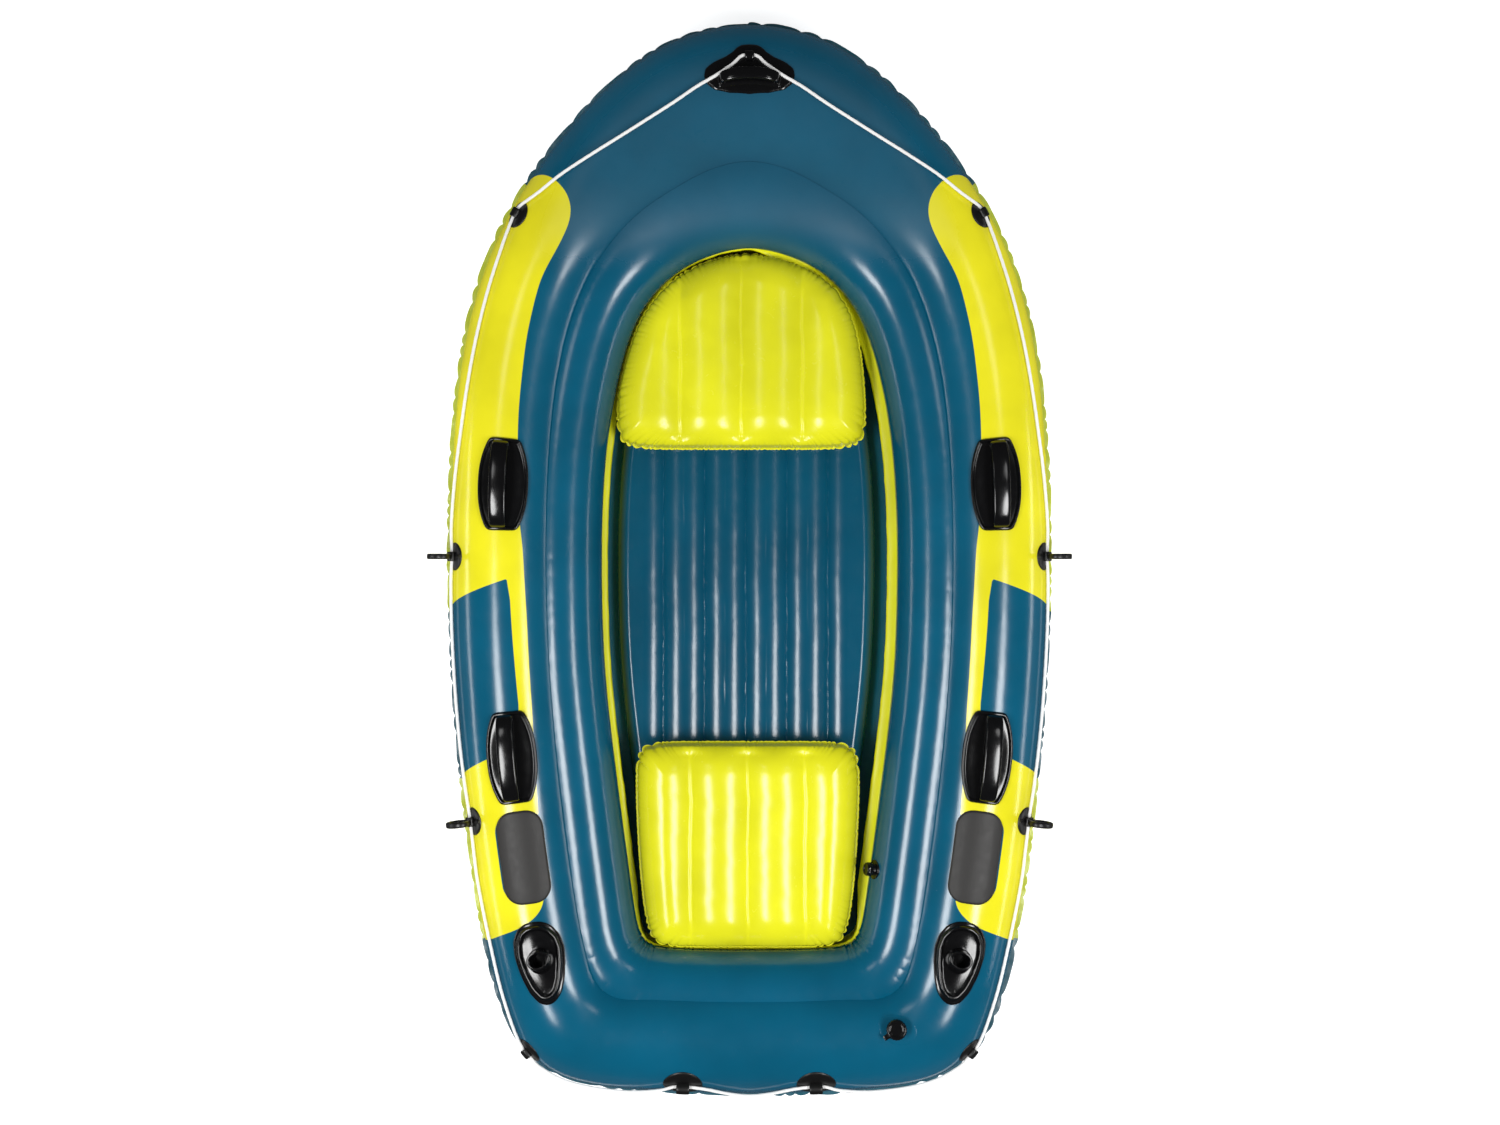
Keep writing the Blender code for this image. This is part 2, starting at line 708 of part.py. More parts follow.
def make_bottom_sheet():
    """Make the single skin under the cockpit, welded to the foot of the outer tube."""
    reach = (SHEET_THICKNESS + GAP) / math.tan(math.pi / TUBE_SIDES)
    bm = bmesh.new()
    rows = []
    for number in range(RIBS // 2 + 1):
        pair = {number, (RIBS - number) % RIBS}
        row = []
        for index in sorted(pair):
            rib = ribs[index]
            foot = rib.point(rib.centre - reach, rib.rise)
            lid = foot + Vector((0.0, 0.0, SHEET_THICKNESS))
            row.append((bm.verts.new(foot), bm.verts.new(lid)))
        rows.append(row)
    for fore, aft in zip(rows, rows[1:]):
        for level in (0, 1):
            corners = [item[level] for item in fore] + [item[level] for item in reversed(aft)]
            bm.faces.new(corners)
        for end in (0, -1):
            bm.faces.new((fore[end][0], fore[end][1], aft[end][1], aft[end][0]))
    add_part("bottom_sheet", mesh_from_bmesh("bottom_sheet", bm), paint["hull_blue"])


def make_cockpit_lining():
    """Make the side wall round the cockpit floor, with its welded fin turned outward."""
    foot = SHEET_THICKNESS + GAP
    wall = -LINING_INSET
    sections = []
    for rib in ribs:
        tip = rib.roll_z - LINING_FIN_DROP
        shoulder = tip - LINING_FIN_RISE
        bulge = rib.roll_width * (1 - math.sqrt(1 - (LINING_FIN_DROP / rib.roll_height) ** 2))
        reach = bulge - LINING_THICKNESS
        sections.append([
            rib.point(wall, foot), rib.point(wall, shoulder), rib.point(reach, tip),
            rib.point(reach, tip - LINING_THICKNESS),
            rib.point(wall + LINING_THICKNESS, shoulder - LINING_THICKNESS),
            rib.point(wall + LINING_THICKNESS, foot)])
    add_part("cockpit_lining", loft_ring("cockpit_lining", sections), paint["lime"])


# Cushions

def chord(outline, x):
    """Return the lowest and highest y of an outline on the line at x."""
    hits = []
    for index, point in enumerate(outline):
        previous = outline[index - 1]
        if (point.x > x) != (previous.x > x):
            share = (x - previous.x) / (point.x - previous.x)
            hits.append(previous.y + share * (point.y - previous.y))
    return min(hits), max(hits)


def edge_distance(outline, x, y):
    """Return the distance of a point from an outline."""
    best = None
    for index, point in enumerate(outline):
        previous = outline[index - 1]
        run_x, run_y = point.x - previous.x, point.y - previous.y
        square = run_x * run_x + run_y * run_y
        if square == 0:
            continue
        share = ((x - previous.x) * run_x + (y - previous.y) * run_y) / square
        share = min(max(share, 0.0), 1.0)
        gap = math.hypot(x - previous.x - share * run_x, y - previous.y - share * run_y)
        if best is None or gap < best:
            best = gap
    return best


def kept_inside(outline):
    """Return a seat's outline with its points kept clear of the cockpit's edge.

    The seat overhangs the lining at the sides, and stays within it near the bow, where
    the lining is taller.
    """
    normals = outward_normals(cockpit_outline)
    places = range(len(cockpit_outline))
    kept = []
    for point in outline:
        near = min(places, key=lambda k: (cockpit_outline[k] - point).length_squared)
        bow = smoothstep((point.y - COCKPIT_FRONT_Y + SEAT_BOW_REACH) / SEAT_BOW_RUN)
        clearance = SEAT_CLEARANCE + bow * (SEAT_BOW_CLEARANCE - SEAT_CLEARANCE)
        excess = (point - cockpit_outline[near]).dot(normals[near]) + clearance
        kept.append(point - normals[near] * max(excess, 0.0))
    return kept


def column_places(outline, centre_x, channel, seams):
    """Return the x of the cushion's columns, with one on each seam."""
    low = min(p.x for p in outline)
    high = max(p.x for p in outline)
    inset = (high - low) * EDGE_COLUMN_SHARE
    stops = [low + inset]
    stops += [centre_x + channel * (k - (seams - 1) / 2) for k in range(seams)]
    stops += [high - inset]
    places = []
    for first, last in zip(stops, stops[1:]):
        places += [first + (last - first) * k / COLUMNS_PER_CHANNEL
                   for k in range(COLUMNS_PER_CHANNEL)]
    return places + [stops[-1]]


def cushion_mesh(name, outline, centre_x, channel, seams, thickness, edge, spread, margin,
                 base_z, rows):
    """Return an inflated cushion: a crown over a welded edge, drawn in along its seams.

    Its columns run along Y, one on each seam. The half thickness grows from the welded
    edge like a quarter round, and falls along each seam that stops short of the edge.
    """
    columns = column_places(outline, centre_x, channel, seams)
    seam_x = [centre_x + channel * (k - (seams - 1) / 2) for k in range(seams)]
    middle_z = base_z + thickness / 2
    bm = bmesh.new()
    upper, lower = [], []
    for x in columns:
        start, end = chord(outline, x)
        top_column, bottom_column = [], []
        for row in range(rows + 1):
            share = 0.5 - 0.5 * math.cos(math.pi * row / rows)
            y = start + (end - start) * (ROW_EVENNESS_SHARE * row / rows
                                         + (1 - ROW_EVENNESS_SHARE) * share)
            inside = edge_distance(outline, x, y)
            rise = math.sqrt(1 - (1 - min(inside / edge, 1.0)) ** 2)
            pull = max(math.exp(-((x - s) / spread) ** 2) for s in seam_x)
            pull *= smoothstep(inside / margin - 1) * SEAM_DEPTH_SHARE
            half = max(thickness / 2 * rise * (1 - pull), WELD_EDGE / 2)
            on_rim = x in (columns[0], columns[-1]) or row in (0, rows)
            if on_rim:
                half = WELD_EDGE / 2
            top_column.append(bm.verts.new((x, y, middle_z + half)))
            bottom_column.append(bm.verts.new((x, y, middle_z - half)))
        upper.append(top_column)
        lower.append(bottom_column)
    last = len(columns) - 1
    for c in range(last):
        for r in range(rows):
            bm.faces.new((upper[c][r], upper[c + 1][r], upper[c + 1][r + 1], upper[c][r + 1]))
            bm.faces.new((lower[c][r], lower[c][r + 1], lower[c + 1][r + 1], lower[c + 1][r]))
        for r in (0, rows):
            bm.faces.new((upper[c][r], upper[c + 1][r], lower[c + 1][r], lower[c][r]))
    for r in range(rows):
        for c in (0, last):
            bm.faces.new((upper[c][r], upper[c][r + 1], lower[c][r + 1], lower[c][r]))
    return mesh_from_bmesh(name, bm)


def make_floor_mat():
    """Make the ribbed inflatable floor that fills the lining."""
    inset = LINING_INSET + LINING_THICKNESS
    outline = [p - n * inset for p, n in zip(cockpit_outline, outward_normals(cockpit_outline))]
    mesh = cushion_mesh("floor_mat", outline, 0.0, MAT_CHANNEL, 5, MAT_THICKNESS, MAT_EDGE,
                        SEAT_SEAM_SPREAD, MAT_EDGE / 2, SHEET_THICKNESS + GAP, MAT_ROWS)
    return add_part("floor_mat", mesh, paint["floor_blue"])


def make_seat(name, shares, width, length, aft_y, offset, channel):
    """Make one inflatable seat that lies on the floor's crowns."""
    outline = kept_inside(plan_outline(shares, length, width, aft_y + length, offset))
    base = SHEET_THICKNESS + MAT_THICKNESS + 2 * GAP
    mesh = cushion_mesh(name, outline, offset, channel, 3, SEAT_THICKNESS, SEAT_EDGE,
                        SEAT_SEAM_SPREAD, SEAT_SEAM_MARGIN, base, SEAT_ROWS)
    return add_part(name, mesh, paint["lime"])


# Fittings on the hull

def make_fitting(name, material, matrix, plate, solids=(), hollows=()):
    """Make a rubber fitting whose plate wraps the outer tube.

    The plate is cut from the outer skin, the solids are joined to it, the hollows are
    taken out, and the tube's own shape is taken out last.
    """
    part = add_part(name, plate, paint[material], matrix)
    add_boolean(part, tube_skin, "INTERSECT")
    for number, mesh in enumerate(solids):
        add_boolean(part, add_cutter(f"{name}_solid_{number}", mesh, matrix), "UNION")
    for number, mesh in enumerate(hollows):
        add_boolean(part, add_cutter(f"{name}_hollow_{number}", mesh, matrix), "DIFFERENCE")
    add_boolean(part, tube_core, "DIFFERENCE")
    return part


def arch_mesh(name, length, width, height, thickness, shift):
    """Return a grip: an arch along X with a finger gap under it, as wide as width."""
    def half_round(half_length, top):
        return [(half_length * math.cos(math.pi * k / ARCH_STEPS)
                 * (1 - ARCH_LEAN_SHARE * math.sin(math.pi * k / ARCH_STEPS) ** 2),
                 top * math.sin(math.pi * k / ARCH_STEPS) ** ARCH_ROUNDNESS_SHARE)
                for k in range(ARCH_STEPS + 1)]
    outer = half_round(length / 2, height)
    inner = half_round(length / 2 - thickness, height - thickness)
    foot = -CUTTER_REACH
    outline = [(length / 2, foot)] + outer + [(-length / 2, foot)]
    outline += [(-length / 2 + thickness, foot)] + inner[::-1]
    outline += [(length / 2 - thickness, foot)]
    mesh = prism_mesh(name, outline, -width / 2, width / 2)
    stand = Matrix.Rotation(math.pi / 2, 4, "X")
    mesh.transform(Matrix.Translation((0.0, shift, 0.0)) @ stand)
    return mesh


def make_side_handles():
    """Make the four moulded grips along the top of the outer tube."""
    half, end, reach = HANDLE_WIDTH / 2, HANDLE_END_WIDTH / 2, HANDLE_LENGTH / 2
    outline = []
    for step in range(HANDLE_STEPS + 1):
        share = 1 - 2 * step / HANDLE_STEPS
        outline.append((reach * share, end + (half - end) * math.sqrt(1 - share * share)))
    outline += [(x, -y) for x, y in reversed(outline)]
    for label, share in HANDLE_PLACE_SHARES.items():
        for side, side_name in ((1, "right"), (-1, "left")):
            name = f"side_handle_{label}_{side_name}"
            plate = prism_mesh(name, outline, -CUTTER_REACH, CUTTER_REACH)
            grip = arch_mesh(name, GRIP_LENGTH, GRIP_WIDTH, GRIP_HEIGHT, GRIP_THICKNESS,
                             GRIP_OUTBOARD)
            make_fitting(name, "gloss_black", tube_frame(rib_place(share, side),
                                                         TOP_ANGLE_DEG), plate, (grip,))


def make_wear_pads():
    """Make the two soft pads behind the rear grips."""
    outline = rounded_rectangle(PAD_LENGTH, PAD_WIDTH, PAD_CORNER, CORNER_STEPS)
    for side, side_name in ((1, "right"), (-1, "left")):
        name = f"wear_pad_{side_name}"
        plate = prism_mesh(name, outline, -CUTTER_REACH, CUTTER_REACH)
        make_fitting(name, "matt_black", tube_frame(side * pad_place, TOP_ANGLE_DEG), plate)


def make_rod_holders():
    """Make the two rod holders: an egg-shaped plate, a raised rim and a leaning tube."""
    lean = math.radians(ROD_LEAN_DEG)
    for side, side_name in ((1, "right"), (-1, "left")):
        name = f"rod_holder_{side_name}"
        fore = -side
        outline = [(fore * x, y) for x, y in
                   mirrored_outline(ROD_PLATE_SHARES, ROD_LENGTH, ROD_WIDTH)]
        plate = prism_mesh(name, outline, -CUTTER_REACH, CUTTER_REACH)
        rim_outer = ring_outline(outline, ROD_RIM_INSET)
        rim_inner = ring_outline(outline, ROD_RIM_INSET + ROD_RIM_WIDTH)
        rim = prism_mesh(name, rim_outer, -CUTTER_REACH, ROD_RIM_HEIGHT)
        well = prism_mesh(name, rim_inner, -CUT_OVERRUN, ROD_RIM_HEIGHT + CUT_OVERRUN)
        turn = Matrix.Rotation(-fore * lean, 4, "Y")
        boss = rod_mesh(name, ROD_FOOT_RADIUS, ROD_TUBE_HEIGHT + CUTTER_REACH / 2,
                        (0.0, 0.0, (ROD_TUBE_HEIGHT - CUTTER_REACH / 2) / 2), "Z",
                        PLATE_SIDES, ROD_TUBE_RADIUS)
        bore = rod_mesh(name, ROD_BORE_RADIUS, ROD_TUBE_HEIGHT + CUTTER_REACH,
                        (0.0, 0.0, (ROD_TUBE_HEIGHT + CUT_OVERRUN - CUTTER_REACH) / 2
                         + CUT_OVERRUN), "Z", PLATE_SIDES)
        for mesh in (boss, bore):
            mesh.transform(turn)
        matrix = tube_frame(side * rod_place, TOP_ANGLE_DEG)
        part = add_part(name, plate, paint["gloss_black"], matrix)
        add_boolean(part, tube_skin, "INTERSECT")
        rim_part = add_cutter(f"{name}_rim", rim, matrix)
        add_boolean(rim_part, add_cutter(f"{name}_well", well, matrix), "DIFFERENCE")
        add_boolean(part, rim_part, "UNION")
        add_boolean(part, add_cutter(f"{name}_boss", boss, matrix), "UNION")
        add_boolean(part, add_cutter(f"{name}_bore", bore, matrix), "DIFFERENCE")
        add_boolean(part, tube_core, "DIFFERENCE")


def ring_outline(outline, inset):
    """Return a flat outline moved inward by an inset along its own normals."""
    count = len(outline)
    moved = []
    for index, (x, y) in enumerate(outline):
        ax, ay = outline[index - 1]
        bx, by = outline[(index + 1) % count]
        size = math.hypot(bx - ax, by - ay)
        nx, ny = (by - ay) / size, -(bx - ax) / size
        if nx * x + ny * y < 0:
            nx, ny = -nx, -ny
        moved.append((x - nx * inset, y - ny * inset))
    return moved


def make_bow_handle():
    """Make the bow fitting: a flared plate, a cross grip and the rope's eye."""
    outline = [(y, x) for x, y in
               mirrored_outline(BOW_PLATE_SHARES, BOW_PLATE_LENGTH, BOW_PLATE_WIDTH)]
    plate = prism_mesh("bow_handle", outline, -CUTTER_REACH, CUTTER_REACH)
    grip = arch_mesh("bow_grip", BOW_GRIP_LENGTH, BOW_GRIP_WIDTH, BOW_GRIP_HEIGHT,
                     BOW_GRIP_THICKNESS, -BOW_GRIP_SHIFT)
    eye = guide_block("bow_eye", GUIDE_BLOCK_LENGTH, GUIDE_BLOCK_HEIGHT, BOW_EYE_SHIFT)
    hole = rod_mesh("bow_eye_hole", GUIDE_BORE_RADIUS, GUIDE_BLOCK_LENGTH + 2 * CUT_OVERRUN,
                    (0.0, BOW_EYE_SHIFT, GUIDE_BORE_HEIGHT), "X", GUIDE_BORE_SIDES)
    make_fitting("bow_handle", "gloss_black", tube_frame(0.0, BOW_PLATE_ANGLE_DEG), plate,
                 (grip, eye), (hole,))


def guide_block(name, length, height, shift=0.0):
    """Return the block over the rope on a guide."""
    reach = CUTTER_REACH / 2
    return box_mesh(name, (length, GUIDE_BLOCK_WIDTH, height + reach),
                    (0.0, shift, (height - reach) / 2))


def make_rope_guides():
    """Make the ten rope guides; the four at the sides carry an oar ring."""
    for label, share in GUIDE_PLACE_SHARES.items():
        ringed = label in ("front", "rear")
        astern = label == "stern"
        length = STERN_PATCH_LENGTH if astern else PATCH_LENGTH
        width = STERN_PATCH_WIDTH if astern else PATCH_WIDTH
        block_length = STERN_BLOCK_LENGTH if astern else GUIDE_BLOCK_LENGTH
        block_height = STERN_BLOCK_HEIGHT if astern else GUIDE_BLOCK_HEIGHT
        for side, side_name in ((1, "right"), (-1, "left")):
            kind = "oar_ring" if ringed else "rope_guide"
            name = f"{kind}_{label}_{side_name}"
            plate = prism_mesh(name, ellipse(length, width, PLATE_SIDES),
                               -CUTTER_REACH, CUTTER_REACH)
            solids = [guide_block(name, block_length, block_height)]
            hollows = [rod_mesh(name, GUIDE_BORE_RADIUS, block_length + 2 * CUT_OVERRUN,
                                (0.0, 0.0, GUIDE_BORE_HEIGHT), "X", GUIDE_BORE_SIDES)]
            if ringed:
                centre = (0.0, 0.0, RING_HEIGHT)
                solids.append(rod_mesh(name, RING_RADIUS, RING_THICKNESS, centre, "X",
                                       PLATE_SIDES))
                hollows.append(rod_mesh(name, RING_BORE_RADIUS,
                                        RING_THICKNESS + 2 * CUT_OVERRUN, centre, "X",
                                        PLATE_SIDES))
            matrix = tube_frame(rib_place(share, side), GUIDE_ANGLES_DEG[label])
            make_fitting(name, "gloss_black", matrix, plate, solids, hollows)


# Rope

def rope_route():
    """Return the closed route of the grab line, through the bow eye and every guide."""
    running = ROPE_RADIUS + ROPE_CLEARANCE
    bore_floor = GUIDE_BORE_HEIGHT - GUIDE_BORE_RADIUS * math.cos(math.pi / GUIDE_BORE_SIDES)
    resting = bore_floor + ROPE_RADIUS + ROPE_SEAT_GAP
    labels = list(GUIDE_PLACE_SHARES)
    stops = [(0.0, None)] + [(GUIDE_PLACE_SHARES[label] * RIBS / 2, label) for label in labels]
    right = []
    for number, (place, label) in enumerate(stops):
        if label is None:
            matrix = tube_frame(0.0, BOW_PLATE_ANGLE_DEG)
            half = GUIDE_BLOCK_LENGTH / 2
            shift = BOW_EYE_SHIFT
        else:
            matrix = tube_frame(place, GUIDE_ANGLES_DEG[label])
            half = (STERN_BLOCK_LENGTH if label == "stern" else GUIDE_BLOCK_LENGTH) / 2
            shift = 0.0
        leave = half + ROPE_RADIUS
        if label is not None:
            right.append(matrix @ Vector((-leave, shift, resting)))
        right.append(matrix @ Vector((leave, shift, resting)))
        if number + 1 < len(stops):
            following = stops[number + 1][0]
            key = labels[number]
        else:
            following = RIBS - place
            key = "middle"
        for share, angle in zip(ROPE_SPAN_SHARES[key], ROPE_ANGLES_DEG[key]):
            rib = rib_between(place + share * (following - place))
            right.append(rib.tube_point(math.radians(angle), running))
    left = [Vector((-p.x, p.y, p.z)) for p in reversed(right)]
    if abs(right[-1].x) < MERGE:
        left = left[1:]
    return right + left


def make_grab_line():
    """Make the rope round the hull as one closed loop."""
    curve = bpy.data.curves.new("grab_line", "CURVE")
    curve.dimensions = "3D"
    curve.bevel_depth = ROPE_RADIUS
    curve.bevel_resolution = 2
    curve.use_fill_caps = True
    route = rope_route()
    spline = curve.splines.new("POLY")
    spline.points.add(len(route) - 1)
    for point, place in zip(spline.points, route):
        point.co = (place.x, place.y, place.z, 1.0)
    spline.use_cyclic_u = True
    add_part("grab_line", curve, paint["rope_white"])


# Valves

def make_main_valve():
    """Make the outer chamber's valve: welded neck, screwed insert and domed cap."""
    matrix = tube_frame(rib_place(VALVE_PLACE_SHARE, 1), VALVE_ANGLE_DEG)
    plate = prism_mesh("main_valve_base", ellipse(2 * VALVE_FLANGE_RADIUS,
                                                  2 * VALVE_FLANGE_RADIUS, VALVE_SIDES),
                       -CUTTER_REACH, CUTTER_REACH)
    neck = rod_mesh("main_valve_neck", VALVE_NECK_RADIUS, VALVE_NECK_HEIGHT + CUT_OVERRUN,
                    (0.0, 0.0, (VALVE_NECK_HEIGHT - CUT_OVERRUN) / 2), "Z", VALVE_SIDES)
    bore = rod_mesh("main_valve_bore", VALVE_BORE_RADIUS, VALVE_NECK_HEIGHT + 2 * CUTTER_REACH,
                    (0.0, 0.0, VALVE_NECK_HEIGHT / 2), "Z", VALVE_SIDES)
    make_fitting("main_valve_base", "hull_blue", matrix, plate, (neck,), (bore,))
    plug = VALVE_BORE_RADIUS - GAP
    lip = VALVE_NECK_HEIGHT + GAP
    top = lip + VALVE_LIP_HEIGHT
    foot = BASE_THICKNESS / 2
    insert = turned_mesh("main_valve_insert", (
        (0.0, top), (VALVE_NECK_RADIUS, top), (VALVE_NECK_RADIUS, lip), (plug, lip),
        (plug, foot), (0.0, foot)), VALVE_SIDES)
    add_part("main_valve_insert", insert, paint["gloss_black"], matrix)
    seat = top + GAP
    crown = seat + VALVE_CAP_HEIGHT
    waist = seat + VALVE_CAP_HEIGHT / 2
    cap = turned_mesh("main_valve_cap", (
        (0.0, crown), (VALVE_CAP_RADIUS / 2, crown - VALVE_CAP_HEIGHT / 8),
        (VALVE_CAP_RADIUS * CAP_SHOULDER_SHARE, waist + VALVE_CAP_HEIGHT / 8),
        (VALVE_CAP_RADIUS, waist - VALVE_CAP_HEIGHT / 8), (VALVE_CAP_RADIUS, seat),
        (0.0, seat)), VALVE_SIDES)
    part = add_part("main_valve_cap", cap, paint["gloss_black"], matrix)
    tab = box_mesh("cap_tab", (CAP_TAB_LENGTH * 2, CAP_TAB_WIDTH, VALVE_CAP_HEIGHT / 3),
                   (VALVE_CAP_RADIUS, 0.0, seat + VALVE_CAP_HEIGHT / 4))
    tab.transform(Matrix.Rotation(math.radians(40.0), 4, "Z"))
    add_boolean(part, add_cutter("cap_tab", tab, matrix), "UNION")


def make_inner_valve():
    """Make the inner chamber's small valve on the cockpit side of the roll."""
    rib = rib_between(rib_place(ROLL_VALVE_PLACE_SHARE, 1))
    angle = math.radians(ROLL_VALVE_ANGLE_DEG)
    position = rib.roll_point(angle)
    normal = (Vector((0.0, 0.0, math.sin(angle) / rib.roll_height))
              - rib.normal * math.cos(angle) / rib.roll_width).normalized()
    matrix = frame_matrix(position, rib.along, normal)
    neck_top = SMALL_NECK_HEIGHT
    flange_top = BASE_THICKNESS
    base = turned_mesh("inner_valve_base", (
        (0.0, neck_top), (SMALL_NECK_RADIUS, neck_top), (SMALL_NECK_RADIUS, flange_top),
        (SMALL_FLANGE_RADIUS, flange_top / 2), (SMALL_FLANGE_RADIUS, -CUTTER_REACH / 2),
        (0.0, -CUTTER_REACH / 2)), VALVE_SIDES)
    part = add_part("inner_valve_base", base, paint["gloss_black"], matrix)
    add_boolean(part, roll_core, "DIFFERENCE")
    seat = neck_top + GAP
    top = seat + SMALL_CAP_HEIGHT
    cap = turned_mesh("inner_valve_cap", (
        (0.0, top), (SMALL_CAP_RADIUS * CAP_SHOULDER_SHARE, top),
        (SMALL_CAP_RADIUS, top - SMALL_CAP_HEIGHT / 5), (SMALL_CAP_RADIUS, seat),
        (0.0, seat)), VALVE_SIDES)
    add_part("inner_valve_cap", cap, paint["gloss_black"], matrix)


def make_pocket_valve(owner, name, x, y, face_z, facing):
    """Make a valve sunk in a cushion: its pocket, welded ring and screw cap.

    face_z is the cushion's face at the valve; facing is 1 for up and -1 for down.
    """
    matrix = Matrix.Translation((x, y, face_z))
    if facing < 0:
        matrix = matrix @ Matrix.Rotation(math.pi, 4, "X")
    pocket = rod_mesh(f"{name}_pocket", POCKET_RADIUS, POCKET_DEPTH + CUT_OVERRUN,
                      (0.0, 0.0, (CUT_OVERRUN - POCKET_DEPTH) / 2), "Z", VALVE_SIDES)
    add_boolean(owner, add_cutter(f"{name}_pocket", pocket, matrix), "DIFFERENCE")
    floor = GAP - POCKET_DEPTH
    outer = POCKET_RADIUS - GAP
    inner = outer - POCKET_RING_WIDTH
    top = floor + POCKET_RING_HEIGHT
    base = turned_mesh(f"{name}_base", (
        (outer, top), (outer, floor), (inner, floor), (inner, top)), VALVE_SIDES)
    add_part(f"{name}_base", base, paint["gloss_black"], matrix)
    seat = top + GAP
    crown = seat + POCKET_CAP_HEIGHT
    stem = inner - GAP
    cap = turned_mesh(f"{name}_cap", (
        (0.0, crown), (outer - POCKET_RING_WIDTH / 2, crown), (outer - GAP, seat),
        (stem, seat), (stem, floor + GAP), (0.0, floor + GAP)), VALVE_SIDES)
    add_part(f"{name}_cap", cap, paint["gloss_black"], matrix)


clear_scene()
boat = new_collection("inflatable_boat")
cutters = new_collection("cutters")
paint = {name: new_material(name) for name in COLOURS}

hull_outline = plan_outline(HULL_OUTLINE_SHARES, HULL_LENGTH, HULL_BEAM, BOW_Y)
cockpit_outline = plan_outline(COCKPIT_OUTLINE_SHARES, COCKPIT_LENGTH, COCKPIT_BEAM,
                               COCKPIT_FRONT_Y)
side_band = (HULL_BEAM - COCKPIT_BEAM) / 2
ribs = make_ribs()
pad_place = place_behind(rib_place(HANDLE_PLACE_SHARES["rear"], 1),
                         HANDLE_LENGTH / 2 + PAD_SPACE + PAD_LENGTH / 2)
rod_place = place_behind(pad_place, PAD_LENGTH / 2 + ROD_SPACE + ROD_LENGTH / 2)

tube_core, tube_skin = make_outer_tube()
roll_core = make_inner_tube()
make_seam_flange()
make_bottom_sheet()
make_cockpit_lining()
floor_mat = make_floor_mat()
front_seat = make_seat("front_seat", FRONT_SEAT_SHARES, FRONT_SEAT_WIDTH, FRONT_SEAT_LENGTH,
                       FRONT_SEAT_Y, FRONT_SEAT_OFFSET, FRONT_SEAT_CHANNEL)
rear_seat = make_seat("rear_seat", REAR_SEAT_SHARES, REAR_SEAT_WIDTH, REAR_SEAT_LENGTH,
                      REAR_SEAT_Y, REAR_SEAT_OFFSET, REAR_SEAT_CHANNEL)
make_bow_handle()
make_side_handles()
make_wear_pads()
make_rod_holders()
make_rope_guides()
make_grab_line()
make_main_valve()
make_inner_valve()
mat_top = SHEET_THICKNESS + GAP + MAT_THICKNESS
seat_bottom = mat_top + GAP
make_pocket_valve(floor_mat, "floor_valve", MAT_CHANNEL / 2,
                  COCKPIT_AFT_Y + FLOOR_VALVE_AHEAD, mat_top, 1)
make_pocket_valve(front_seat, "front_seat_valve", FRONT_SEAT_OFFSET + FRONT_SEAT_CHANNEL / 2,
                  FRONT_SEAT_Y + FRONT_SEAT_VALVE_AHEAD, seat_bottom, -1)
make_pocket_valve(rear_seat, "rear_seat_valve", REAR_SEAT_OFFSET - REAR_SEAT_CHANNEL / 2,
                  REAR_SEAT_Y + REAR_SEAT_VALVE_AHEAD, seat_bottom, -1)
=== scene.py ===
"""Visual model of a two-person inflatable boat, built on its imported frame.

The bow points to +Y and the boat stands on z = 0. Soft pieces and fittings are computed on
one smooth hull shape: at each place round the cockpit a vertical section starts at the
cockpit's edge, runs outward along the edge's normal and ends at the hull's outline. A place
counts from 0 at the bow to 44 at the stern on the right side, and to -44 on the left.
"""
from __future__ import annotations

import json
import logging
import math
from collections.abc import Callable, Sequence
from dataclasses import dataclass, field
from enum import Enum

import bmesh
import bpy
import numpy as np
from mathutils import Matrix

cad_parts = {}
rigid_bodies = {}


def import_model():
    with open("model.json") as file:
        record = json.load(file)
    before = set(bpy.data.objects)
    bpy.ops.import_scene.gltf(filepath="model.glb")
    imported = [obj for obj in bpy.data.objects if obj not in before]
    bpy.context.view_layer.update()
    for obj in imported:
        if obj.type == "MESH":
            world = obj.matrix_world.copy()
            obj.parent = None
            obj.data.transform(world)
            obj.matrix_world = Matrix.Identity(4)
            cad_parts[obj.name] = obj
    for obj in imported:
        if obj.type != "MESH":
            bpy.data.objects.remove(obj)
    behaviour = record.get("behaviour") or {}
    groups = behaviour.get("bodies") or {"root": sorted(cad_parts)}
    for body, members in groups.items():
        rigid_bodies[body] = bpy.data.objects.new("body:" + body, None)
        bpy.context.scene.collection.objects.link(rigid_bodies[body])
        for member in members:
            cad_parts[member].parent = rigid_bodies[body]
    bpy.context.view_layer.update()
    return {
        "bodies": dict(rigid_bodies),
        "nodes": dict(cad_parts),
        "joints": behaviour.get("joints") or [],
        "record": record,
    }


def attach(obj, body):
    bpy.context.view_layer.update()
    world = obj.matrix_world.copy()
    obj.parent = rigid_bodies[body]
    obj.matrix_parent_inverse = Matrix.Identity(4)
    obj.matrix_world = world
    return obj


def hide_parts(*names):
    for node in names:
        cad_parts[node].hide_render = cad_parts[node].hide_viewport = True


LOG = logging.getLogger("boat")
Array = np.ndarray
Pairs = Sequence[tuple[float, float]]
Socket = bpy.types.NodeSocket

PLACES = 88
HALF = PLACES / 2
TOP_DEG = 90.0
ALONG, ACROSS, UP = np.eye(3)

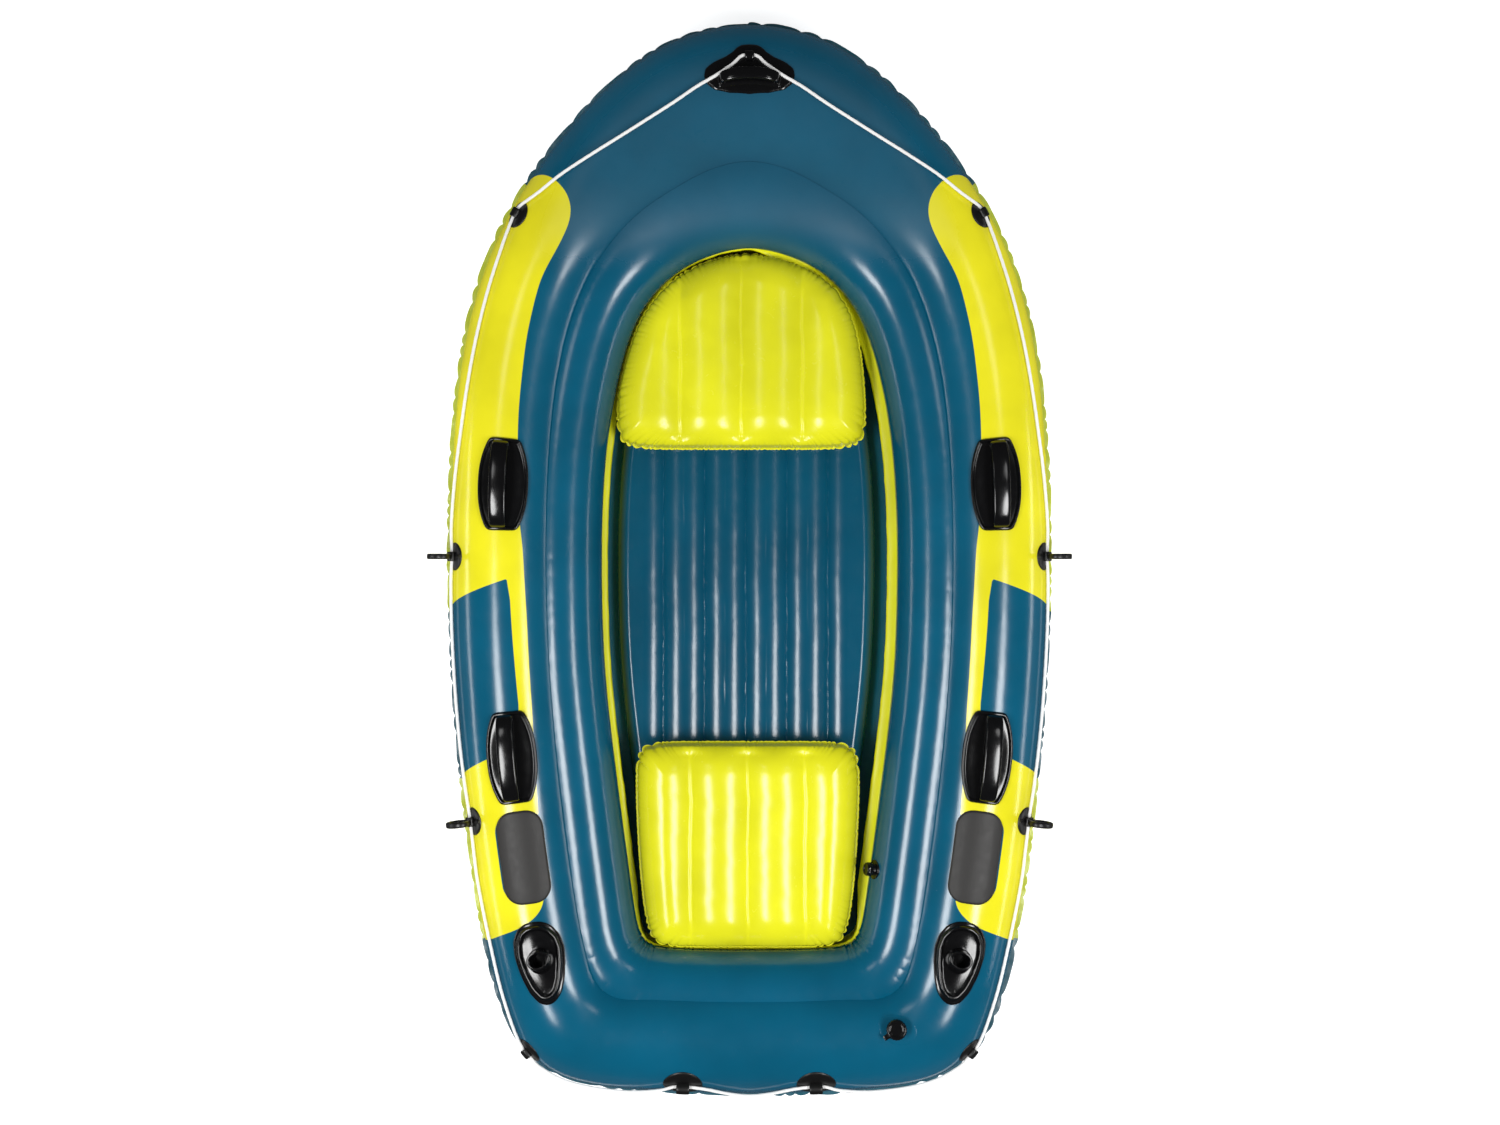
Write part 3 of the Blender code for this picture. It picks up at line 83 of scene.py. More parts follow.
# Half outlines from bow to stern: shares of the length and of the half beam
HULL_SHARES = (
    (0, 0), (0.01, 0.205), (0.03, 0.355), (0.068, 0.527), (0.115, 0.674), (0.162, 0.79),
    (0.209, 0.87), (0.256, 0.925), (0.303, 0.96), (0.35, 0.982), (0.42, 0.998), (0.49, 1.003),
    (0.56, 0.999), (0.632, 0.984), (0.726, 0.955), (0.82, 0.91), (0.88, 0.868), (0.914, 0.834),
    (0.943, 0.79), (0.963, 0.742), (0.979, 0.67), (0.991, 0.56), (0.998, 0.36), (1.001, 0),
)
COCKPIT_SHARES = (
    (0, 0), (0.006, 0.2), (0.026, 0.46), (0.06, 0.64), (0.1, 0.765), (0.15, 0.85),
    (0.22, 0.928), (0.31, 0.984), (0.418, 1.003), (0.503, 0.998), (0.588, 0.985),
    (0.67, 0.948), (0.762, 0.892), (0.85, 0.838), (0.93, 0.788), (0.972, 0.755), (0.992, 0.7),
    (0.998, 0.56), (1, 0.3), (1, 0),
)
FRONT_SEAT_SHARES = (
    (0, 0), (0.008, 0.21), (0.055, 0.5), (0.15, 0.73), (0.29, 0.88), (0.45, 0.955),
    (0.64, 0.99), (0.82, 1.005), (0.935, 0.995), (0.982, 0.93), (1, 0.78), (1, 0.4), (1, 0),
)
REAR_SEAT_SHARES = (
    (0, 0), (0, 0.42), (0, 0.8), (0.018, 0.935), (0.07, 0.995), (0.2, 1.005), (0.42, 0.99),
    (0.64, 0.965), (0.83, 0.925), (0.94, 0.88), (0.985, 0.81), (1, 0.64), (1, 0.3), (1, 0),
)
BOW_PLATE_SHARES = (
    (1, 0), (0.98, 0.16), (0.86, 0.26), (0.68, 0.34), (0.5, 0.5), (0.37, 0.76), (0.2, 0.94),
    (-0.08, 1), (-0.4, 0.96), (-0.68, 0.8), (-0.9, 0.46), (-1, 0),
)
ROD_PLATE_SHARES = (
    (1, 0), (0.97, 0.34), (0.84, 0.66), (0.55, 0.93), (0.2, 1), (-0.2, 0.92), (-0.6, 0.74),
    (-0.86, 0.5), (-0.97, 0.24), (-1, 0),
)

# The lime panel and the blue notch in it: share of the way aft, and angle round the tube
PANEL_OUTLINE = (
    (0.172, -30), (0.17, 0), (0.1645, 19), (0.1575, 45), (0.156, 60), (0.1568, 79),
    (0.1614, 89), (0.169, 95), (0.1773, 97), (0.1955, 98), (0.2227, 95), (0.2477, 97),
    (0.2727, 98), (0.3, 100), (0.3341, 101), (0.3545, 102), (0.4273, 107), (0.4523, 111),
    (0.5114, 114), (0.5909, 114), (0.6682, 111), (0.74, 106), (0.7545, 105), (0.7625, 101),
    (0.7665, 94), (0.7735, 82), (0.7841, 28), (0.786, -30),
)
NOTCH_OUTLINE = (
    (0.52, -40), (0.5045, 1), (0.4773, 95), (0.4955, 98), (0.5841, 101), (0.6159, 99),
    (0.6273, 68), (0.6386, 27), (0.648, -10), (0.655, -40),
)

# Edges of plates, as inset and height, and turned bodies, as radius and height
GRIP_RIM = ((0, -0.001), (0, 0.004), (0.0025, 0.0078), (0.0065, 0.0078), (0.0085, 0.0034),
            (0.016, 0.0026))
ROD_RIM = ((0, -0.001), (0, 0.003), (0.003, 0.0046), (0.0085, 0.0052), (0.012, 0.011),
           (0.0165, 0.011), (0.02, 0.0046), (0.03, 0.004))
BOW_RIM = ((0, -0.001), (0, 0.0024), (0.004, 0.0042), (0.012, 0.0046))
GUIDE_RIM = ((0, -0.001), (0, 0.0014), (0.003, 0.0032), (0.012, 0.0044))
VALVE_FLANGE = ((0, -0.001), (0, 0.0003), (0.004, 0.0007), (0.012, 0.001))
OUTER_NECK = ((0.023, -0.004), (0.0195, 0.003), (0.019, 0.012), (0.0152, 0.012), (0.0152, 0.004))
OUTER_INSERT = ((0.0145, 0.0016), (0.0147, 0.0123), (0.019, 0.0123), (0.0192, 0.0158),
                (0.012, 0.0158))
INNER_NECK = ((0.021, -0.003), (0.021, 0.0015), (0.0125, 0.003), (0.0125, 0.0069), (0.01, 0.0069))

# Uneven waves of the film, as a seed and a length in metres
TUBE_SWELL = (2.1, 0.055)
ROLL_SWELL = (5.2, 0.06)
ROLL_FAN = (3.3, 0.0085)
FLANGE_GROWTH = (0.7, 0.31)
FLANGE_RUFFLE = (4.4, 0.013)
FIN_WAVE = (1.9, 0.034)
LIP_CRIMP = (1.1, 0.016)
MAT_WANDER = (1.3, 0.050)
MAT_FOLDS = (0.9, 0.0060)
MAT_SWELL = (2.2, 0.11)
SEAT_SWELL = (0.8, 0.055)


class Side(Enum):
    """The boat's two sides, seen from the stern toward the bow."""

    RIGHT = 1
    LEFT = -1

    @property
    def label(self) -> str:
        """Return the side's name as the CAD nodes end."""
        return self.name.lower()


class Coat(Enum):
    """How a surface is built: smooth film, moulded rubber or braided yarn."""

    FILM = "film"
    MOULDED = "moulded"
    BRAID = "braid"


# Shapes in the plane

def unit(vectors: Array) -> Array:
    """Return vectors along the last axis, each at length 1."""
    return vectors / np.linalg.norm(vectors, axis=-1, keepdims=True)


def full_turn(count: int) -> Array:
    """Return angles spaced evenly round a full turn."""
    return np.arange(count) * 2 * math.pi / count


def chord(loop: Array, reach: int = 1) -> Array:
    """Return the vector between the neighbours of each point of a closed loop."""
    return np.roll(loop, -reach, axis=0) - np.roll(loop, reach, axis=0)


def lengths_along(loop: Array) -> Array:
    """Return the length run at each point of a closed loop, and at its start again."""
    steps = np.linalg.norm(np.diff(np.vstack([loop, loop[:1]]), axis=0), axis=1)
    return np.concatenate([[0], np.cumsum(steps)])


def mirrored(half: Array) -> Array:
    """Return a closed loop from one half of it, whose ends lie on the first axis."""
    return np.vstack([half, half[-2:0:-1] * (1, -1)])


def closed_spline(half_shares: Pairs, per_span: int = 24) -> Array:
    """Return a closed symmetric cubic B-spline through a mirrored table of shares.

    Each span blends four neighbouring points with the uniform cubic weights. The loop is
    stretched so that it fills its length from 0 to 1 and its half width to 1.

    Args:
        half_shares: Points (along, across) of the right half, from bow to stern.
        per_span: Points computed between two neighbouring control points.
    Returns:
        An array (n, 2) that runs from the bow round the right side.
    """
    control = mirrored(np.array(half_shares, float))
    t = np.arange(per_span)[:, None] / per_span
    weights = np.hstack([(1 - t) ** 3, 3 * t ** 3 - 6 * t ** 2 + 4,
                         -3 * t ** 3 + 3 * t ** 2 + 3 * t + 1, t ** 3]) / 6
    four = np.stack([np.roll(control, 1 - k, axis=0) for k in range(4)], axis=1)
    loop = np.einsum("sk,ckd->csd", weights, four).reshape(-1, 2)
    low, high = loop[:, 0].min(), loop[:, 0].max()
    return np.column_stack([(loop[:, 0] - low) / (high - low), loop[:, 1] / loop[:, 1].max()])


def plan_outline(half_shares: Pairs, length: float, width: float, front_y: float,
                 centre_x: float = 0.0) -> Array:
    """Return a closed outline (n, 2) in metres, x to the right and y to the bow."""
    loop = closed_spline(half_shares)
    return np.column_stack([centre_x + loop[:, 1] * width / 2, front_y - loop[:, 0] * length])


def normals_of(loop: Array) -> Array:
    """Return the outward unit normals of a clockwise loop (n, 2)."""
    run = chord(loop)
    return unit(np.column_stack([-run[:, 1], run[:, 0]]))


def resampled(loop: Array, count: int) -> Array:
    """Return a closed loop (n, d) as a number of points evenly spaced along it."""
    reach = lengths_along(loop)
    at = np.arange(count) * reach[-1] / count
    return np.column_stack([np.interp(at, reach, np.append(axis, axis[0])) for axis in loop.T])


def smooth_loop(loop: Array, count: int, passes: int) -> Array:
    """Return a loop resampled evenly, its corners rounded by averaging neighbours."""
    points = resampled(loop, count)
    for _ in range(passes * 4):
        points = (np.roll(points, 1, axis=0) + 2 * points + np.roll(points, -1, axis=0)) / 4
    return points


def signed_distance(points: Array, loop: Array) -> Array:
    """Return each point's distance from a closed loop, below zero inside it.

    The distance is the least over the loop's segments. A point is inside when a ray to the
    right crosses the loop an odd number of times.

    Args:
        points: Points (n, 2).
        loop: The closed loop (m, 2).
    Returns:
        An array of n distances.
    """
    best = np.full(len(points), np.inf)
    inside = np.zeros(len(points), bool)
    for a, b in zip(loop, np.roll(loop, -1, axis=0)):
        run = b - a
        share = np.clip(((points - a) @ run) / max(run @ run, 1e-18), 0, 1)
        best = np.minimum(best, np.linalg.norm(points - a - share[:, None] * run, axis=1))
        crosses = (a[1] > points[:, 1]) != (b[1] > points[:, 1])
        if abs(run[1]) > 1e-12:
            meet = a[0] + (points[:, 1] - a[1]) * run[0] / run[1]
            inside ^= crosses & (points[:, 0] < meet)
    return np.where(inside, -best, best)


def smoothstep(value: Array, start: float = 0.0, width: float = 1.0) -> Array:
    """Return 0 up to a start, 1 from a width beyond it and a smooth step between them."""
    value = np.clip((value - start) / width, 0.0, 1.0)
    return value * value * (3 - 2 * value)


def quarter_round(inside: Array, reach: float) -> Array:
    """Return the rise of a quarter circle, 0 at an edge and 1 from its reach inward."""
    return np.sqrt(np.clip(1 - (1 - np.clip(inside / reach, 0, 1)) ** 2, 0, 1))


def lobes(at: Array, pitch: float, seed: float, sharp: float = 0.55) -> Array:
    """Return rounded lobes with narrow valleys between them, from 0 in a valley to 1.

    The lobes are the absolute value of a sine whose phase wanders with two slow sines, so
    that no two lobes are equally long.
    """
    phase = at / pitch + 0.42 * np.sin(at / pitch * 0.83 + seed) \
        + 0.27 * np.sin(at / pitch * 2.31 + 1.7 * seed)
    return np.abs(np.sin(np.pi * phase)) ** sharp


def arc_profile(u: Array, half: float, radius: float) -> Array:
    """Return the height of a round channel, 1 on its crown and 0 at its welds.

    Args:
        u: Distance from the crown as a share of the half width, 0 to 1.
        half: The channel's half width.
        radius: The radius of its round top.
    """
    foot = math.sqrt(radius ** 2 - half ** 2)
    return (np.sqrt(radius ** 2 - (u * half) ** 2) - foot) / (radius - foot)


def ripple(at: Array, seed: float, scale: float) -> Array:
    """Return a smooth uneven wave between about -1 and 1 along a length."""
    total = np.zeros_like(at)
    for k, weight in enumerate((0.5, 0.3, 0.2, 0.12)):
        total += weight * np.sin(at / scale * (1.0 + 0.73 * k * k) + seed * (1.3 + k))
    return total


# The hull's shape

@dataclass
class Stations:
    """Sections of the hull at an array of places; lengths are arrays (n, 1)."""

    edge: Array
    normal: Array
    radius: Array
    centre: Array
    roll_width: Array
    roll_height: Array
    rise: Array
    roll_z: Array
    run: Array
    bend: Array

    @property
    def axis_z(self) -> Array:
        """Return the height of the outer tube's axis."""
        return self.radius + self.rise

    @property
    def band(self) -> Array:
        """Return the distance from the cockpit's edge to the hull's outline."""
        return self.centre + self.radius

    def point(self, out: Array, z: Array) -> Array:
        """Return points (n, m, 3) at distances out from the edge and heights (n, m)."""
        out, z = np.broadcast_arrays(out, z)
        plan = self.edge[:, None, :] + self.normal[:, None, :] * out[..., None]
        return np.concatenate([plan, z[..., None]], axis=2)

    def tube(self, angle: Array, extra: Array | float = 0.0) -> Array:
        """Return points on the outer tube, or a little off it, at angles (n or 1, m)."""
        reach = self.radius + extra
        return self.point(self.centre + reach * np.cos(angle),
                          self.axis_z + reach * np.sin(angle))

    def roll(self, angle: Array, extra: Array | float = 0.0) -> Array:
        """Return points on the inner roll; angle 0 is its cockpit side."""
        return self.point(self.roll_width - (self.roll_width + extra) * np.cos(angle),
                          self.roll_z + (self.roll_height + extra) * np.sin(angle))

    def roll_meets_tube(self, sign: int, extra: float) -> Array:
        """Return the roll's angles (n, 1), on top or below, where it reaches the tube."""
        near, far = np.zeros_like(self.radius), np.full_like(self.radius, math.pi)
        for _ in range(40):
            middle = (near + far) / 2
            out = self.roll_width - self.roll_width * np.cos(middle)
            z = self.roll_z - self.axis_z + sign * self.roll_height * np.sin(middle)
            clear = np.hypot(out - self.centre, z) > self.radius + extra
            near, far = np.where(clear, middle, near), np.where(clear, far, middle)
        return sign * near


@dataclass
class HullShape:
    """The smooth hull: plan outlines and the sizes of its sections, in metres."""

    length: float = 2.295
    beam: float = 1.300
    cockpit_beam: float = 0.643
    bow_deck: float = 0.464
    stern_deck: float = 0.307
    tube: float = 0.125
    bow_tube: float = 0.157
    roll_width: float = 0.0895
    roll_height: float = 0.0895
    bow_roll_width: float = 0.142
    bow_roll_height: float = 0.110
    bow_rise: float = 0.050
    bow_roll_rise: float = 0.040
    table: dict[str, Array] = field(default_factory=dict)

    def __post_init__(self) -> None:
        """Measure the band between the cockpit's edge and the outline all round."""
        hull = plan_outline(HULL_SHARES, self.length, self.beam, self.length / 2)
        edge = self.cockpit
        normal = normals_of(edge)
        across = np.column_stack([-normal[:, 1], normal[:, 0]])
        p = hull[None] - edge[:, None]
        q = np.roll(hull, -1, axis=0)[None] - edge[:, None]
        a, b = np.einsum("nmd,nd->nm", p, across), np.einsum("nmd,nd->nm", q, across)
        meets = (a > 0) != (b > 0)
        share = a / np.where(meets, a - b, 1.0)
        reach = np.einsum("nmd,nd->nm", p + (q - p) * share[..., None], normal)
        band = np.where(meets & (reach > 0), reach, np.inf).min(axis=1)
        run = lengths_along(edge + normal * band[:, None] / 2)
        bend = np.linalg.norm(chord(normal, 4), axis=1) / np.linalg.norm(chord(edge, 4), axis=1)
        self.run = run[-1]
        values = {"x": edge[:, 0], "y": edge[:, 1], "nx": normal[:, 0], "ny": normal[:, 1],
                  "band": band, "bend": bend}
        self.table = {name: np.append(value, value[0]) for name, value in values.items()}
        self.table["place"] = run / run[-1] * PLACES

    @property
    def cockpit_front(self) -> float:
        """Return the y of the cockpit's front edge."""
        return self.length / 2 - self.bow_deck

    @property
    def cockpit(self) -> Array:
        """Return the cockpit's outline."""
        length = self.length - self.bow_deck - self.stern_deck
        return plan_outline(COCKPIT_SHARES, length, self.cockpit_beam, self.cockpit_front)

    def stations(self, places: Array) -> Stations:
        """Return the hull's sections at places, which wrap round the boat."""
        at = np.mod(np.atleast_1d(places), PLACES)
        x, y, nx, ny, band, bend = (np.interp(at, self.table["place"], self.table[name])
                                    for name in ("x", "y", "nx", "ny", "band", "bend"))
        size = np.hypot(nx, ny)
        normal = np.column_stack([nx / size, ny / size])
        side_band = (self.beam - self.cockpit_beam) / 2
        swell = smoothstep(band, side_band, self.bow_deck - side_band)
        radius = self.tube + swell * (self.bow_tube - self.tube)
        centre = band - radius
        lift = (y + normal[:, 1] * centre - self.cockpit_front) \
            / (self.bow_deck - self.bow_tube)
        lift = np.maximum(lift, 0.0) ** 2
        column = [v[:, None] for v in (
            radius, centre, self.roll_width + swell * (self.bow_roll_width - self.roll_width),
            self.roll_height + swell * (self.bow_roll_height - self.roll_height),
            self.bow_rise * lift, self.tube + self.bow_roll_rise * lift,
            np.atleast_1d(places) / PLACES * self.run, bend)]
        return Stations(np.column_stack([x, y]), normal, *column)

    def around(self, count: int) -> Stations:
        """Return evenly spaced sections right round the boat."""
        return self.stations(np.arange(count) * PLACES / count)


@dataclass
class Patch:
    """A spot on the outer tube, and the wrapping of flat shapes round it.

    In a patch x runs along the tube toward growing places, y runs outward and down, and z
    stands off the surface. A point keeps its distance along and round the tube.
    """

    shape: HullShape
    place: float
    angle_deg: float

    @property
    def speed(self) -> float:
        """Return the metres of surface for one place."""
        angle = np.array([[math.radians(self.angle_deg)]])
        ends = self.shape.stations(np.array([self.place - 0.5, self.place + 0.5])).tube(angle)
        return float(np.linalg.norm(ends[1] - ends[0]))

    def wrap(self, local: Array) -> Array:
        """Return points (n, 3) of the patch laid on the hull."""
        sections = self.shape.stations(self.place + local[:, 0] / self.speed)
        angle = math.radians(self.angle_deg) - local[:, 1:2] / sections.radius
        return sections.tube(angle, local[:, 2:3])[:, 0]


# Meshes

@dataclass
class Shell:
    """A closed mesh: its points and its faces."""

    points: Array
    faces: list

    def moved(self, change: Callable[[Array], Array]) -> Shell:
        """Return the shell with a function applied to its points."""
        return Shell(change(self.points), self.faces)


def grid_faces(rows: int, columns: int, close_rows: bool, close_columns: bool) -> Array:
    """Return the quads (k, 4) of a grid of points stored row by row."""
    r = np.arange(rows if close_rows else rows - 1)
    c = np.arange(columns if close_columns else columns - 1)
    r, c = (v.ravel() for v in np.meshgrid(r, c, indexing="ij"))
    r2, c2 = (r + 1) % rows, (c + 1) % columns
    return np.column_stack([r * columns + c, r * columns + c2, r2 * columns + c2,
                            r2 * columns + c])


def torus(grid: Array) -> Shell:
    """Return a closed ring from a grid (n, m, 3) that closes both ways."""
    n, m = grid.shape[:2]
    return Shell(grid.reshape(-1, 3), grid_faces(n, m, True, True).tolist())


def capped(rings: Array) -> Shell:
    """Return a closed body from rings (n, m, 3), fanned shut at both ends."""
    n, m = rings.shape[:2]
    points = np.vstack([rings.reshape(-1, 3), rings[0].mean(axis=0), rings[-1].mean(axis=0)])
    around = np.arange(m)
    following = (around + 1) % m
    last = (n - 1) * m
    first = np.column_stack([following, around, np.full(m, n * m)])
    final = np.column_stack([last + around, last + following, np.full(m, n * m + 1)])
    return Shell(points, [*grid_faces(n, m, False, True).tolist(), *first.tolist(),
                          *final.tolist()])


def joined(*shells: Shell) -> Shell:
    """Return several shells as one mesh of separate closed bodies."""
    faces, count = [], 0
    for shell in shells:
        faces += [[index + count for index in face] for face in shell.faces]
        count += len(shell.points)
    return Shell(np.vstack([shell.points for shell in shells]), faces)


def plate(outline: Array, profile: Pairs, fill_rings: int = 4) -> Shell:
    """Return a plate whose edge follows a profile and whose middle is flat.

    Each ring is the outline moved inward along its normals by the inset. The middle is
    closed with rings that shrink toward the centre.

    Args:
        outline: A closed flat outline (n, 2).
        profile: Insets from the outline and heights, from the foot to the middle.
        fill_rings: Rings between the profile's end and the centre.
    Returns:
        The closed plate, with z up from its foot.
    """
    area = np.sum(outline[:, 0] * np.roll(outline[:, 1], -1)
                  - np.roll(outline[:, 0], -1) * outline[:, 1])
    inward = normals_of(outline) * (1 if area > 0 else -1)
    rings = [np.column_stack([outline + inward * inset, np.full(len(outline), height)])
             for inset, height in profile]
    inner = rings[-1]
    centre = inner.mean(axis=0)
    rings += [centre + (inner - centre) * (1 - k / (fill_rings + 1))
              for k in range(1, fill_rings + 1)]
    return capped(np.array(rings))


def superellipse(width: float, height: float, power: float, count: int) -> Array:
    """Return a rounded box, an ellipse at power 2, as a flat loop (n, 2)."""
    c, s = np.cos(full_turn(count)), np.sin(full_turn(count))
    return np.column_stack([width / 2 * np.sign(c) * np.abs(c) ** (2 / power),
                            height / 2 * np.sign(s) * np.abs(s) ** (2 / power)])


def sweep(path: Array, across: Array, section: Array, closed: bool = False) -> Shell:
    """Return a closed body, a section swept along a path.

    Args:
        path: The path's points (n, 3).
        across: The direction that the section's first axis follows, (3,) or (n, 3).
        section: The flat section (m, 2): along across, and along the path's normal.
        closed: Whether the path is a loop.
    """
    run = unit(chord(path) if closed else np.gradient(path, axis=0))
    across = np.broadcast_to(across, path.shape)
    side = unit(across - np.sum(across * run, axis=1, keepdims=True) * run)
    normal = np.cross(side, run)
    rings = path[:, None] + side[:, None] * section[None, :, :1] \
        + normal[:, None] * section[None, :, 1:]
    return torus(rings) if closed else capped(rings)


def arch(overrun: float, count: int, blunt: float = 1.0) -> tuple[Array, Array, Array]:
    """Return an arch as its cosine, its sine and its height from 0 to 1.

    Args:
        overrun: The share of a half turn that it runs on past each foot.
        count: Its number of points.
        blunt: The power of its sine; less than 1 gives a squarer arch.
    """
    t = np.linspace(-overrun, 1 + overrun, count) * math.pi
    c, s = np.cos(t), np.sin(t)
    return c, s, np.sign(s) * np.abs(s) ** blunt


def turned(profile: Pairs, sides: int = 64) -> Shell:
    """Return a body turned about z from (radius, height) points, foot to top."""
    c, s = np.cos(full_turn(sides)), np.sin(full_turn(sides))
    return capped(np.array([np.column_stack([r * c, r * s, np.full(sides, z)])
                            for r, z in profile]))


def rounded(profile: Pairs, radius: float, steps: int = 5) -> Pairs:
    """Return a profile with its inner corners rounded by short arcs of chords."""
    points = np.array(profile, float)
    result = [tuple(points[0])]
    for before, corner, after in zip(points, points[1:], points[2:]):
        a, b = before - corner, after - corner
        la, lb = np.linalg.norm(a), np.linalg.norm(b)
        cut = min(radius, la * 0.45, lb * 0.45)
        p, q = corner + a / la * cut, corner + b / lb * cut
        for k in range(steps + 1):
            t = k / steps
            result.append(tuple((1 - t) ** 2 * p + 2 * t * (1 - t) * corner + t * t * q))
    return [*result, tuple(points[-1])]


def rounded_rectangle(length: float, width: float, corner: float, steps: int = 14) -> Array:
    """Return a rectangle with round corners as a flat loop (n, 2)."""
    t = np.linspace(0, math.pi / 2, steps + 1)
    parts = []
    for quarter, (sx, sy) in enumerate(((1, 1), (-1, 1), (-1, -1), (1, -1))):
        turn = t + quarter * math.pi / 2
        parts.append(np.column_stack([sx * (length / 2 - corner) + corner * np.cos(turn),
                                      sy * (width / 2 - corner) + corner * np.sin(turn)]))
    return resampled(np.vstack(parts), 160)


def block(size: tuple[float, float], low: float, high: float, corner: float,
          centre: tuple[float, float]) -> Shell:
    """Return a block, its size given in the plan, with rounded edges but at its foot."""
    outline = rounded_rectangle(*size, corner, 6)[::4] + centre
    return plate(outline, [(0.0, low), (0.0, high - corner * 0.6),
                           (corner * 0.18, high - corner * 0.18), (corner * 0.6, high)], 1)


# Finishes

@dataclass
class Graph:
    """A node tree being wired."""

    tree: bpy.types.NodeTree

    def wire(self, node: bpy.types.Node, inputs: dict) -> None:
        """Set or link inputs of a node."""
        for key, value in inputs.items():
            if isinstance(value, bpy.types.NodeSocket):
                self.tree.links.new(value, node.inputs[key])
            else:
                node.inputs[key].default_value = value

    def add(self, kind: str, inputs: dict | None = None, **settings) -> bpy.types.Node:
        """Add a node, set its properties and set or link its inputs."""
        node = self.tree.nodes.new(kind)
        for name, value in settings.items():
            setattr(node, name, value)
        self.wire(node, inputs or {})
        return node

    def place(self) -> Socket:
        """Return the socket of the object's own coordinates."""
        return self.add("ShaderNodeTexCoord").outputs["Object"]

    def attribute(self, name: str) -> Socket:
        """Return the value socket of a mesh attribute."""
        return self.add("ShaderNodeAttribute", attribute_name=name).outputs["Fac"]

    def noise(self, vector: Socket, scale: float, detail: float, rough: float = 0.5,
              distortion: float = 0.0) -> Socket:
        """Return the value socket of a noise texture."""
        return self.add("ShaderNodeTexNoise", {
            "Vector": vector, "Scale": scale, "Detail": detail, "Roughness": rough,
            "Distortion": distortion}).outputs["Fac"]

    def maths(self, operation: str, first: Socket | float, second: Socket | float) -> Socket:
        """Return the result of a math node."""
        return self.add("ShaderNodeMath", {0: first, 1: second}, operation=operation).outputs[0]

    def span(self, value: Socket, low: float, high: float, start: float = 0.0,
             end: float = 1.0) -> Socket:
        """Return a value mapped from one range to another, clamped."""
        return self.add("ShaderNodeMapRange", {
            "Value": value, "From Min": low, "From Max": high, "To Min": start,
            "To Max": end}).outputs["Result"]

    def shade(self, colour: Socket, value: Socket | float) -> Socket:
        """Return a colour made darker or lighter by a factor."""
        return self.add("ShaderNodeHueSaturation",
                        {"Color": colour, "Value": value}).outputs["Color"]

    def mix(self, share: Socket, first: Socket | tuple, second: Socket | tuple) -> Socket:
        """Return a mix of two colours."""
        return self.add("ShaderNodeMix", {0: share, 6: first, 7: second},
                        data_type="RGBA").outputs[2]


def new_group(name: str, colours: tuple, values: tuple, outputs: tuple) -> tuple:
    """Return a node group, its graph and its input sockets by name.

    Args:
        name: The group's name.
        colours: Names of its colour inputs.
        values: Names of its float inputs.
        outputs: Names of its outputs; the one named Colour is a colour.
    """
    tree = bpy.data.node_groups.new(name, "ShaderNodeTree")
    for label in (*colours, *values):
        kind = "NodeSocketColor" if label in colours else "NodeSocketFloat"
        tree.interface.new_socket(label, in_out="INPUT", socket_type=kind)
    for label in outputs:
        kind = "NodeSocketColor" if label == "Colour" else "NodeSocketFloat"
        tree.interface.new_socket(label, in_out="OUTPUT", socket_type=kind)
    g = Graph(tree)
    return tree, g, g.add("NodeGroupInput").outputs


def film_group() -> bpy.types.NodeTree:
    """Return the group for coated film: soft mottling, a fine emboss and handling marks; on the
    bow's deck the film is rougher and its colour darker, a painted shade.
    """
    tree, g, given = new_group("coated_film", ("Colour",), ("Roughness", "Dull"),
                               ("Colour", "Roughness", "Height"))
    where = g.place()
    broad = g.noise(where, 5.0, 3.0)
    patch = g.noise(where, 34.0, 4.0, 0.6)
    grain = g.noise(where, 900.0, 2.0)
    scuff = g.noise(where, 60.0, 6.0, distortion=1.6)
    colour = g.mix(g.span(broad, 0.32, 0.68), g.shade(given["Colour"], 0.88),
                   g.shade(given["Colour"], 1.08))
    # Painted shade: the deck mask darkens the colour on the bow's deck, where the light falls
    # off.
    colour = g.shade(colour, g.span(given["Dull"], 0.0, 1.0, 1.0, 0.84))
    marks = g.span(scuff, 0.62, 0.80, 0.0, 0.10)
    uneven = g.maths("ADD", g.maths("MULTIPLY", patch, 0.10), marks)
    rough = g.maths("ADD", given["Roughness"], g.maths("SUBTRACT", uneven, 0.05))
    rough = g.maths("ADD", rough, g.maths("MULTIPLY", given["Dull"], 0.75))
    height = g.maths("ADD", g.maths("MULTIPLY", grain, 0.30),
                     g.maths("MULTIPLY", patch, 0.70))
    g.add("NodeGroupOutput", {"Colour": colour, "Roughness": rough, "Height": height})
    return tree


def moulded_group() -> bpy.types.NodeTree:
    """Return the group for moulded rubber: a fine texture, dust and paler worn edges."""
    tree, g, given = new_group("moulded_rubber", ("Colour",), ("Roughness", "Wear"),
                               ("Colour", "Roughness", "Height"))
    where = g.place()
    fine = g.noise(where, 1400.0, 3.0)
    cloud = g.noise(where, 70.0, 5.0, 0.6)
    crest = g.add("ShaderNodeNewGeometry").outputs["Pointiness"]
    worn = g.maths("MULTIPLY", g.span(crest, 0.53, 0.62), given["Wear"])
    worn = g.maths("MULTIPLY", worn, g.span(cloud, 0.40, 0.65, 0.2, 1.0))
    colour = g.mix(worn, given["Colour"], g.shade(given["Colour"], 3.2))
    rough = g.maths("ADD", given["Roughness"], g.span(cloud, 0.3, 0.7, -0.02, 0.04))
    g.add("NodeGroupOutput", {"Colour": colour, "Roughness": rough, "Height": fine})
    return tree


